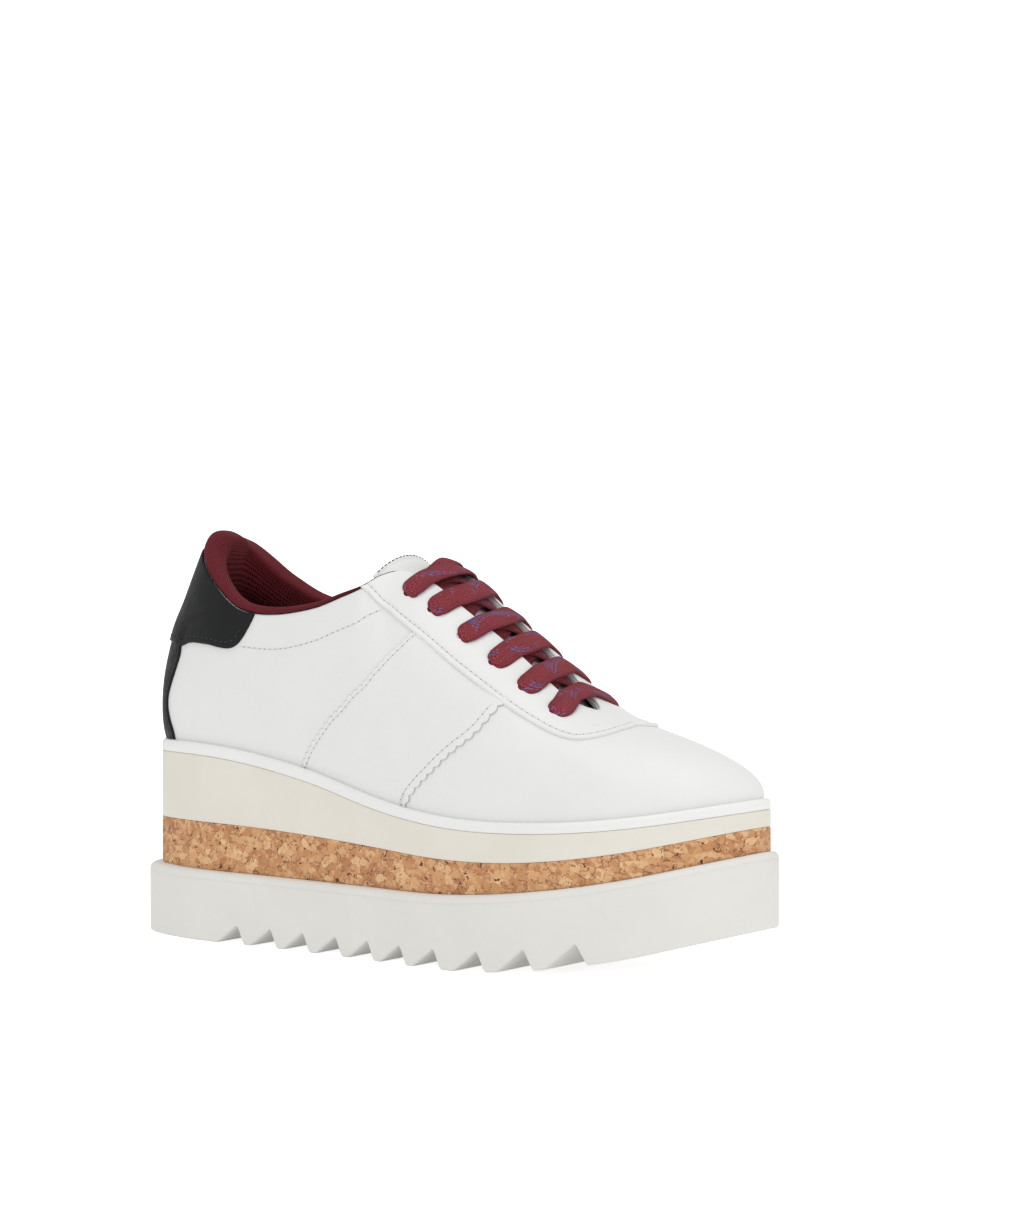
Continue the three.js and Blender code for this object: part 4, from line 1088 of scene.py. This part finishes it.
cell_far = sum_node(knit, "SQRT", sum_node(
    knit, "ADD", sum_node(knit, "MULTIPLY", cell_u, cell_u), sum_node(knit, "MULTIPLY", cell_v, cell_v)))
knit_hole = step_node(knit, cell_far, 0.17, 0.4, 1.0, 0.0)
knit.links.new(knit_hole, knit_out.inputs["Hole"])
knit.links.new(sum_node(knit, "SUBTRACT", 1.0, knit_hole), knit_out.inputs["Height"])


def cloth_finish(name, thread, hole, pitch, depth):
    """Knitted mesh cloth: open cells along the piece's own lay, matt with a faint sheen. The cells take the
    hole colour, painted shade in the mesh holes.
    """
    material, tree, shader = new_finish(name, Roughness=0.9, Sheen_Weight=0.04, Specular_IOR_Level=0.12)
    uv = add_node(tree, "ShaderNodeUVMap", uv_map="lay")
    cells = use_group(tree, knit, Lay=uv.outputs[0], Pitch=pitch)
    fuzz = add_node(tree, "ShaderNodeTexNoise", {"Vector": object_place(tree), "Scale": 60.0, "Detail": 4.0})
    tinted = blend_node(tree, step_node(tree, fuzz.outputs[0], 0.35, 0.7, 0.0, 0.35), thread,
                        tuple(0.6 * value for value in thread[:3]) + (1,))
    tree.links.new(blend_node(tree, cells.outputs["Hole"], tinted, hole), shader.inputs["Base Color"])
    bump(tree, shader, cells.outputs["Height"], depth, 0.8)
    return material


# The open cells are near-black burgundy: painted shade in the mesh holes.
collar_cloth = cloth_finish("burgundy_knit", (0.198, 0.021, 0.030, 1), (0.028, 0.0025, 0.004, 1),
                            0.0015, 0.0007)
collar_faces, collar_corners = tube_faces(COLLAR_RINGS, COLLAR_AROUND)
collar_run = np.concatenate([[0], np.cumsum(np.linalg.norm(np.diff(collar_top, axis=0), axis=1))])
girth = np.linalg.norm(np.diff(collar_ring[COLLAR_RINGS // 2], axis=0), axis=1).sum()
collar_uv = np.stack([np.interp(collar_corners[:, 0], np.arange(COLLAR_RINGS), collar_run),
                      collar_corners[:, 1] * girth / COLLAR_AROUND], -1) * 0.001
collar = new_piece("collar_padding", (collar_points.reshape(-1, 3), collar_faces), [collar_cloth],
                   ["collar_lining"], uv=collar_uv, sharp=180)

# The foam fills the cover: pressure swells it everywhere but along the leather, where it is glued
start = np.empty(len(collar.data.vertices) * 3, np.float32)
collar.data.vertices.foreach_get("co", start)
start = start.reshape(-1, 3)
glued = collar.vertex_groups.new(name="glued")
step_round = np.tile(np.arange(COLLAR_AROUND) * len(collar_section) / COLLAR_AROUND, COLLAR_RINGS)
ring_number = np.repeat(np.arange(COLLAR_RINGS), COLLAR_AROUND)
held = (step_round <= 5.2) | (step_round >= 14.8) | (ring_number < 3) | (ring_number > COLLAR_RINGS - 4)
glued.add(np.flatnonzero(held).tolist(), 1.0, "REPLACE")
cloth = collar.modifiers.new("cover", "CLOTH")
cloth.settings.use_pressure = True
cloth.settings.uniform_pressure_force = 4
cloth.settings.tension_stiffness = 15
cloth.settings.compression_stiffness = 15
cloth.settings.bending_stiffness = 0.5
cloth.settings.vertex_group_mass = "glued"
cloth.settings.effector_weights.gravity = 0
cloth.collision_settings.use_collision = False
for number in range(1, 21):
    bpy.context.scene.frame_set(number)
graph = bpy.context.evaluated_depsgraph_get()
swollen = np.empty_like(start).ravel()
collar.evaluated_get(graph).data.vertices.foreach_get("co", swollen)
collar.modifiers.remove(cloth)
move = swollen.reshape(-1, 3) - start
far = np.linalg.norm(move, axis=1, keepdims=True)
move *= np.minimum(1, COLLAR_CAP * 0.001 / np.maximum(far, 1e-9))
collar.data.vertices.foreach_set("co", (start + move).ravel())
collar.data.update()
bpy.context.scene.frame_set(1)
finer = collar.modifiers.new("finer", "SUBSURF")
finer.levels = 1
finer.render_levels = 1

# Insole: a foam board covered with the same burgundy cloth, dished a little under the heel. Its
# cloth is painted much darker than the collar's: painted shade for the inside of the shoe.
INSOLE_IN = FEATHER_INSET + WALL - 0.5
insole_rings = [sole_ring(8.3, over("midsole", 0.4)), sole_ring(8.3, over("rand", 0.3)),
                sole_ring(INSOLE_IN, over("rand", 0.3)), sole_ring(INSOLE_IN, over("rand", 2.0)),
                sole_ring(INSOLE_IN + 0.25, over("rand", 2.6)),
                sole_ring(INSOLE_IN + 0.9, over("rand", 2.95)), sole_ring(INSOLE_IN + 2, over("rand", 3))]
new_piece("insole_board", sole_body(insole_rings), [lining_with_painted_shade], ["insole"])

# Tongue: white leather over thin foam, 3 mm thick, slipped under the facing and standing out of
# the throat in an arch. A row of dark stitches follows its edge.
STRIDE = 0.27
TONGUE_FRONT = 19.3
TONGUE_REACH = 1.55
TONGUE_END = 120.0
TONGUE_TOP = 155.5
TONGUE_HALF = 24.0
TONGUE_LEAN = 1.0
TONGUE_THICKNESS = 3.2
TONGUE_SINK = 2.0
THROAT_TOP = 11.0


def across(section, step):
    """Crosses the throat from the outer side to the inner: between -1 and 1 a cubic curve bridges
    the gap in line with both edges; beyond that it runs down the upper, STRIDE of it a step."""
    section, step = np.broadcast_arrays(np.asarray(section, float), np.asarray(step, float))
    side = np.where(step < 0, section, LOOP - section)
    down = shell(side, 1 - np.clip(np.abs(step) - 1, 0, None) * STRIDE)
    left, right = shell(section, 1.0), shell(LOOP - section, 1.0)
    pull = np.linalg.norm(left - right, axis=-1, keepdims=True) * 0.22
    left_way = left + unit(left - shell(section, 0.98)) * pull
    right_way = right + unit(right - shell(LOOP - section, 0.98)) * pull
    b = ((np.clip(step, -1, 1) + 1) / 2)[..., None]
    a = 1 - b
    bridge = left * a ** 3 + 3 * left_way * a * a * b + 3 * right_way * a * b * b + right * b ** 3
    return np.where(np.abs(step)[..., None] > 1, down, bridge)


def ahead_of(section, step):
    """Direction along the shoe at a place across the throat."""
    return unit(across(section + 0.05, step) - across(section - 0.05, step))


def off_across(section, step, distance):
    """Point off the surface that crosses the throat."""
    over_way = across(section, step + 0.02) - across(section, step - 0.02)
    normal = unit(np.cross(ahead_of(section, step), over_way))
    return across(section, step) + normal * np.asarray(distance, float)[..., None]


def tongue_face(a, b, distance):
    """A face of the tongue: a from the toe end to the free end, b from the outer side to the inner.
    The last three tenths leave the throat and rise to the arch of the free end."""
    step = TONGUE_REACH * (2 * b - 1)
    out = np.clip(a - 0.7, 0, None) / 0.3
    section = TONGUE_FRONT + (THROAT_TOP + 0.3 - TONGUE_FRONT) * np.clip(a / 0.7, 0, 1)
    sink = TONGUE_SINK * np.clip(1 - out * 1.6, 0, 1)
    point = off_across(section, step, distance - sink)
    wide = np.abs(point[..., 1] + TONGUE_LEAN) / TONGUE_HALF
    corner = np.clip(wide - 0.85, 0, None) * TONGUE_HALF
    end_x = TONGUE_END - 3.5 * wide ** 2 + 1.6 * corner
    end_z = TONGUE_TOP - 11 * wide ** 2 - 0.8 * corner + distance + WALL + 0.3
    point[..., 0] += (end_x - point[..., 0]) * out
    point[..., 2] += (end_z - point[..., 2]) * out ** 2
    return point


tongue_a = np.concatenate([np.linspace(0, 0.7, 70), np.linspace(0.705, 0.985, 50),
                           [0.99, 0.994, 0.997, 0.999, 1]])
tongue_b = np.concatenate([[0, 0.002, 0.006, 0.012, 0.02], np.linspace(0.03, 0.97, 70),
                           [0.98, 0.988, 0.994, 0.998, 1]])
grid_a, grid_b = np.meshgrid(tongue_a, tongue_b, indexing="ij")
middle = tongue_face(grid_a, grid_b, -WALL - 0.3 - TONGUE_THICKNESS / 2)
run_a = np.concatenate([np.zeros((1, len(tongue_b))),
                        np.cumsum(np.linalg.norm(np.diff(middle, axis=0), axis=-1), axis=0)])
run_b = np.concatenate([np.zeros((len(tongue_a), 1)),
                        np.cumsum(np.linalg.norm(np.diff(middle, axis=1), axis=-1), axis=1)], 1)
from_edge = np.minimum(run_a[-1:] - run_a, np.minimum(run_b, run_b[:, -1:] - run_b))
tongue_round = np.sqrt(1 - (1 - np.clip(from_edge / 1.5, 0.02, 1)) ** 2)
tongue_groove = 0.35 * np.exp(-((from_edge - 2.6) / 0.6) ** 2)
tongue_half = TONGUE_THICKNESS / 2 * tongue_round - tongue_groove
tongue_out = tongue_face(grid_a, grid_b, -WALL - 0.3 - TONGUE_THICKNESS / 2 + tongue_half)
tongue_in = tongue_face(grid_a, grid_b, -WALL - 0.3 - TONGUE_THICKNESS / 2 - tongue_half)
tongue_points, tongue_faces, tongue_kinds = plate(tongue_out, tongue_in)
new_piece("tongue_leather", (tongue_points, tongue_faces), [white_leather, lining_with_painted_shade, white_leather],
          ["tongue"], kinds=tongue_kinds, sharp=60)

# Lace: one flat burgundy lace, 9.6 mm wide and plump, woven with loose blue flecks. Six bars
# cross the throat outside and dive through the punched holes; between them it crosses under the
# facing.
LACE_WIDTH = 9.6
LACE_THICKNESS = 1.9
LACE_AROUND = 28
LACE_SLANT = 0.52
LACE_ARCH = 0.6


def lace_run(rows, narrow):
    """A stretch of lace over places given as section, step across the throat and lift off it. The
    path is smooth through them, and the lace lies flat at its middle and doesn't twist from there.
    narrow is how far from each end it is drawn together in a hole. A fourth number in a row rolls
    the lace about its path, in radians."""
    fine = smooth_path(rows, 400)
    fine, travelled = evenly(fine, off_across(fine[:, 0], fine[:, 1], fine[:, 2]), 0.45)
    centre = off_across(fine[:, 0], fine[:, 1], fine[:, 2])
    centre[1:-1] = (centre[:-2] + 2 * centre[1:-1] + centre[2:]) / 4
    way = unit(np.gradient(centre, axis=0))
    side = ahead_of(fine[:, 0], fine[:, 1])
    middle = len(centre) // 2
    side[middle] = unit(side[middle] - way[middle] * side[middle].dot(way[middle]))
    for k in [*range(middle + 1, len(centre)), *range(middle - 1, -1, -1)]:
        near = side[k - 1 if k > middle else k + 1]
        side[k] = unit(near - way[k] * near.dot(way[k]))
    up = np.cross(side, way)
    if fine.shape[1] > 3:
        roll = fine[:, 3:]
        side, up = side * np.cos(roll) + up * np.sin(roll), up * np.cos(roll) - side * np.sin(roll)
    from_end = np.minimum(travelled, travelled[-1] - travelled)
    full = np.sqrt(1 - (1 - np.clip((from_end - 3.2) / narrow, 0, 1)) ** 2)
    wide = LACE_WIDTH / 2 * (0.42 + 0.58 * full)
    tall = LACE_THICKNESS / 2 * (1.5 - 0.5 * full)
    turn = np.linspace(0, 2 * math.pi, LACE_AROUND, endpoint=False) - math.pi / 2
    flat = np.sign(np.cos(turn)) * np.abs(np.cos(turn)) ** 0.8
    round_up = np.sign(np.sin(turn)) * np.abs(np.sin(turn)) ** 0.75
    rings = (centre[:, None] + side[:, None] * flat[None, :, None] * wide[:, None, None]
             + up[:, None] * round_up[None, :, None] * tall[:, None, None])
    return rings, travelled


def lace_piece(name, rows, start, replaces=(), narrow=6.0):
    """Makes one stretch of lace. Its weave is laid out by distance along the whole lace."""
    rings, travelled = lace_run(rows, narrow)
    faces, corners = tube_faces(len(rings), LACE_AROUND)
    lay = np.stack([start + np.interp(corners[:, 0], np.arange(len(rings)), travelled),
                    corners[:, 1] * 20.0 / LACE_AROUND], -1) * 0.001
    new_piece(name, (rings.reshape(-1, 3), faces), [lace_weave], replaces, uv=lay, sharp=180)
    return start + travelled[-1]


lace_weave, lace_tree, lace_shader = new_finish("lace_weave", Roughness=0.9, Sheen_Weight=0.05,
                                                Specular_IOR_Level=0.15)
lace_lay = add_node(lace_tree, "ShaderNodeSeparateXYZ",
                    {0: add_node(lace_tree, "ShaderNodeUVMap", uv_map="lay").outputs[0]})
along_mm = sum_node(lace_tree, "MULTIPLY", lace_lay.outputs[0], 1000.0)
round_mm = sum_node(lace_tree, "MULTIPLY", lace_lay.outputs[1], 1000.0)
column = sum_node(lace_tree, "PINGPONG", round_mm, 0.8)
chevron = sum_node(lace_tree, "PINGPONG", sum_node(lace_tree, "ADD", along_mm, column), 0.5)
rib = step_node(lace_tree, chevron, 0.05, 0.42)
furrow = step_node(lace_tree, sum_node(lace_tree, "PINGPONG", round_mm, 0.8), 0.0, 0.22)
weave_height = sum_node(lace_tree, "MULTIPLY", rib, sum_node(lace_tree, "ADD", furrow, 0.3))
lace_place = add_node(lace_tree, "ShaderNodeCombineXYZ", {0: along_mm, 1: round_mm})
fibre = add_node(lace_tree, "ShaderNodeTexNoise",
                 {"Vector": lace_place.outputs[0], "Scale": 2.2, "Detail": 5.0, "Roughness": 0.7})
warm = add_node(lace_tree, "ShaderNodeTexNoise",
                {"Vector": lace_place.outputs[0], "Scale": 1.1, "Detail": 2.0})


def fleck_track(middle, swing, wave, shift):
    """Mask of a loose coloured thread: it drifts across the lace as a sine of the distance along,
    shows in two rows of short slanting dashes, and is buried in the weave for stretches."""
    angle = sum_node(lace_tree, "ADD", sum_node(lace_tree, "DIVIDE", along_mm, wave), shift)
    drift = sum_node(lace_tree, "MULTIPLY", sum_node(lace_tree, "SINE", angle), swing)
    track = sum_node(lace_tree, "ADD", drift, middle)
    away = sum_node(lace_tree, "ABSOLUTE", sum_node(lace_tree, "SUBTRACT", round_mm, track))
    shown = add_node(lace_tree, "ShaderNodeTexNoise", {
        "Vector": add_node(lace_tree, "ShaderNodeCombineXYZ", {0: along_mm, 1: shift * 40.0}).outputs[0],
        "Scale": 0.09, "Detail": 1.0})
    ragged = sum_node(lace_tree, "MULTIPLY", fibre.outputs[0], 0.8)
    dash = step_node(lace_tree, sum_node(lace_tree, "PINGPONG", sum_node(
        lace_tree, "ADD", along_mm, sum_node(lace_tree, "ADD", round_mm, ragged)), 0.9), 0.5, 0.62)
    off_row = sum_node(lace_tree, "ABSOLUTE", sum_node(lace_tree, "SUBTRACT", away, 0.5))
    near_track = step_node(lace_tree, off_row, 0.2, 0.36, 1.0, 0.0)
    seen = step_node(lace_tree, shown.outputs[0], 0.54, 0.56)
    return sum_node(lace_tree, "MULTIPLY", near_track, sum_node(lace_tree, "MULTIPLY", dash, seen))


flecks = sum_node(lace_tree, "MAXIMUM", fleck_track(9.4, 2.4, 7.0, 0.4), fleck_track(10.6, 2.6, 11.0, 2.1))
flecks = sum_node(lace_tree, "MAXIMUM", flecks, fleck_track(10.2, 2.4, 7.0, 0.9))
thread = blend_node(lace_tree, step_node(lace_tree, fibre.outputs[0], 0.38, 0.66), (0.29, 0.027, 0.043, 1),
                    (0.58, 0.105, 0.125, 1))
thread = blend_node(lace_tree, step_node(lace_tree, warm.outputs[0], 0.64, 0.72, 0.0, 0.6), thread,
                    (0.52, 0.16, 0.10, 1))
# Painted shade: the thread darkens towards near black where the weave is low, in its furrows.
thread = blend_node(lace_tree, step_node(lace_tree, weave_height, 0.0, 0.7, 0.45, 0.0), thread,
                    (0.10, 0.008, 0.014, 1))
lace_tree.links.new(blend_node(lace_tree, flecks, thread, (0.13, 0.22, 0.56, 1)),
                    lace_shader.inputs["Base Color"])
bump(lace_tree, lace_shader, sum_node(lace_tree, "ADD", weave_height, fibre.outputs[0]), 0.0006, 1.0)

used = 0.0
eyelet_sections, eyelet_ups = eyelets()
eyelet_reach = 1 + (1 - eyelet_ups) / STRIDE
LACE_ROLLS = [0.06, -0.05, 0.08, -0.04, 0.07, 0.3]
for i in range(EYELETS):
    section, reach = eyelet_sections[i], eyelet_reach[i]
    slant = LACE_SLANT * (1.5 if i == EYELETS - 1 else 1)
    rows = [(section, -reach, -3.6, 0), (section, -reach, -1.2, 0), (section, -reach - 0.01, 0.9, 0)]
    for b in (0.02, 0.07, 0.15, 0.25, 0.36, 0.48, 0.6, 0.72, 0.82, 0.9, 0.96):
        ahead = slant * math.sin(math.pi * b ** 0.66) ** 1.1
        lift = 1.75 - 0.6 * b + LACE_ARCH * (1 + 0.15 * math.sin(2.1 * i)) * math.sin(math.pi * b) ** 1.5
        roll = LACE_ROLLS[i] * math.sin(math.pi * b ** 0.5)
        rows.append((section + ahead, reach * (2 * b - 1), lift, roll))
    rows += [(section, reach + 0.01, 0.4, 0), (section, reach, -1.2, 0), (section, reach, -3.6, 0)]
    used = lace_piece(f"lace_bar_woven_{i + 1}", rows, used, [f"lace_bar_{i + 1}"])

section, reach = eyelet_sections[0] - 0.1, eyelet_reach[0]
rows = [(section, -0.8 * reach, -3.6), (section, -0.35 * reach, -3.3), (section, -0.05 * reach, -1.6),
        (section - 0.06, 0.14 * reach, 1.3), (section - 0.12, 0.3 * reach, 2.6),
        (section - 0.06, 0.46 * reach, 1.3), (section, 0.66 * reach, -1.8), (section, 0.9 * reach, -3.6)]
used = lace_piece("lace_tucked_end", rows, used, narrow=14.0)

for i in range(EYELETS - 1):
    here, there = i, i + 1
    for side, lift in ((1, -1.0), (-1, -2.4)):
        start, end = -side * eyelet_reach[here], side * eyelet_reach[there]
        rows = [(eyelet_sections[here], start, -3.4),
                (eyelet_sections[here] + 0.1, start * 0.8, -3.5),
                (0.75 * eyelet_sections[here] + 0.25 * eyelet_sections[there], start * 0.5, -2.6),
                (0.5 * (eyelet_sections[here] + eyelet_sections[there]), 0.0, lift),
                (0.25 * eyelet_sections[here] + 0.75 * eyelet_sections[there], end * 0.5, -2.6),
                (eyelet_sections[there] - 0.1, end * 0.8, -3.5),
                (eyelet_sections[there], end, -3.4)]
        used = lace_piece(f"lace_crossing_{i + 1}_{'ab'[side > 0]}", rows, used, narrow=8.0)

# Stitching: nearly 4 stitches to the centimetre, in white thread on the white leather and black
# on the black leather and the tongue. Each stitch sits in its groove and dives into a needle hole;
# the holes are small grey pods on the leather between stitches, painted shade.
STITCH_PITCH = 2.7
STITCH_IN = 2.45


def stitch_row(points, normals, pitch, sizes, lift, shift=0.0):
    """Small closed pods at an even pitch along a row: sizes are half length, half width and half
    height. A pod is a ball stretched along the row, across it and out of the leather."""
    run = np.concatenate([[0], np.cumsum(np.linalg.norm(np.diff(points, axis=0), axis=1))])
    places = np.arange(pitch * (0.5 + shift), run[-1] - 0.3 * pitch, pitch)
    centre = np.stack([np.interp(places, run, column) for column in points.T], -1)
    out = unit(np.stack([np.interp(places, run, column) for column in normals.T], -1))
    ahead = np.stack([np.interp(places + 0.2, run, c) - np.interp(places - 0.2, run, c)
                      for c in points.T], -1)
    ahead = unit(ahead - out * (ahead * out).sum(-1, keepdims=True))
    aside = np.cross(out, ahead)
    round_it = np.linspace(0, 2 * math.pi, 8, endpoint=False)
    lean, turn = np.meshgrid(np.linspace(0, math.pi, 6)[1:-1], round_it,
                             indexing="ij")
    ball = np.stack([np.cos(lean), np.sin(lean) * np.cos(turn), np.sin(lean) * np.sin(turn)], -1)
    ball = ball.reshape(-1, 3)
    ball = np.concatenate([ball, [(1, 0, 0), (-1, 0, 0)]]) * sizes
    pods = (centre[:, None] + ball[None, :, :1] * ahead[:, None] + ball[None, :, 1:2] * aside[:, None]
            + (ball[None, :, 2:] + lift) * out[:, None])
    side = ring_faces(4, 8)
    k = np.arange(8)
    tips = np.concatenate([np.stack([k * 0 + 32, np.roll(k, -1), k], -1),
                           np.stack([k * 0 + 33, k + 24, np.roll(k, -1) + 24], -1)])
    base = (np.arange(len(places)) * len(ball))[:, None, None]
    return pods.reshape(-1, 3), (base + side).reshape(-1, 4), (base + tips).reshape(-1, 3)


def sew(name, rows, finish):
    """Joins rows of pods into one piece."""
    points, faces, start = [], [], 0
    for pods, quads, tips in rows:
        points.append(pods)
        faces += (quads + start).tolist() + (tips + start).tolist()
        start += len(pods)
    new_piece(name, (np.concatenate(points), faces), [finish], sharp=180)


def on_leather(path, lift):
    """Points and normals of a row over the upper, at a lift off it."""
    return shell_face(path[:, 0], path[:, 1], np.full(len(path), lift)), shell_normal(path[:, 0], path[:, 1])


white_thread, white_tree, white_shader = new_finish("white_thread", Roughness=0.6, Sheen_Weight=0.2)
twist = add_node(white_tree, "ShaderNodeTexNoise", {"Vector": object_place(white_tree), "Scale": 3000.0})
white_tree.links.new(blend_node(white_tree, twist.outputs[0], (0.8, 0.79, 0.76, 1), (0.6, 0.59, 0.56, 1)),
                     white_shader.inputs["Base Color"])
bump(white_tree, white_shader, twist.outputs[0], 0.0001, 0.5)
black_thread, black_tree, black_shader = new_finish("black_thread", Roughness=0.6)
black_twist = add_node(black_tree, "ShaderNodeTexNoise",
                       {"Vector": object_place(black_tree), "Scale": 3000.0})
black_shade = blend_node(black_tree, black_twist.outputs[0], (0.012, 0.012, 0.014, 1),
                         (0.028, 0.028, 0.03, 1))
black_tree.links.new(black_shade, black_shader.inputs["Base Color"])
# Needle holes: flat grey pods on the leather between the stitches, painted shade where the holes are.
painted_hole_shade, hole_tree, hole_shader = new_finish("needle_hole_painted_shade", Roughness=0.9)
hole_noise = add_node(hole_tree, "ShaderNodeTexNoise", {"Vector": object_place(hole_tree), "Scale": 1500.0})
hole_shade = blend_node(hole_tree, hole_noise.outputs[0], (0.36, 0.35, 0.34, 1), (0.2, 0.195, 0.19, 1))
hole_tree.links.new(hole_shade, hole_shader.inputs["Base Color"])

COLLAR_LINE = [(5.1, 0.742), (5.53, 0.75), (6.01, 0.751), (6.38, 0.755), (6.96, 0.77), (7.33, 0.778),
               (7.78, 0.788), (8.51, 0.791), (9.27, 0.784), (10.07, 0.768), (10.75, 0.767)]
rows = []
for side in (-1, 1):
    for seam, back, lift in ((HEEL_SEAM, 0.0, 0.42), (TOE_SEAM, 2.5, 0.76)):
        path, steps = seam_line(seam, side, 0.5)
        rows.append(on_leather(beside(path, np.full(len(path), side * back))[10:], lift))
    rows.append(on_leather(seam_line(COLLAR_LINE, side, 0.5)[0], 0.02))
welt_loops = even_loops(FACING_BACK + 0.1, LOOP - FACING_BACK - 0.1, 900, 0.7)
welt_path = np.stack([welt_loops, edge_of(facing_curve, welt_loops)], -1)
welt_path = beside(welt_path, np.full(len(welt_path), STITCH_IN))
rows.append(on_leather(welt_path, 0.72))
sew("white_stitching", [stitch_row(p, n, STITCH_PITCH, (1.0, 0.24, 0.2), 0.02) for p, n in rows],
    white_thread)
sew("painted_hole_shade_pods", [stitch_row(p, n, STITCH_PITCH, (0.34, 0.26, 0.08), 0.03, 0.5) for p, n in rows],
    painted_hole_shade)

tab_path_loops = even_loops(-5.3, 5.3, 400, 0.75)
tab_path = np.stack([tab_path_loops, edge_of(tab_curve, tab_path_loops)], -1)
tab_path = beside(tab_path, np.full(len(tab_path), STITCH_IN))
tab_lift = 0.9 + 1.0 * (np.abs(tab_path[:, 0]) < 2.9)
tab_row = (shell_face(tab_path[:, 0], tab_path[:, 1], tab_lift),
           shell_normal(tab_path[:, 0], tab_path[:, 1]))
black_rows = [tab_row]
for side in (-1, 1):
    strip_line = np.stack([side * (strip_wide - STITCH_IN / strip_speed), strip_ups], -1)[2:100]
    black_rows.append(on_leather(strip_line, 0.86))
sew("black_stitching", [stitch_row(p, n, STITCH_PITCH, (1.0, 0.26, 0.22), 0.04) for p, n in black_rows],
    black_thread)

edge_b = np.linspace(0.06, 0.94, 200)
tongue_line = tongue_face(np.full(200, 0.978), edge_b, np.full(200, -WALL - 0.36))
tongue_next = tongue_face(np.full(200, 0.968), edge_b, np.full(200, -WALL - 0.36))
tongue_side = np.gradient(tongue_line, axis=0)
tongue_normal = unit(np.cross(tongue_side, tongue_next - tongue_line))
tongue_normal *= np.sign(tongue_normal[:, 2:3])
sew("tongue_stitching", [stitch_row(tongue_line, tongue_normal, 2.2, (0.8, 0.24, 0.2), 0.1)],
    black_thread)

bpy.context.view_layer.update()
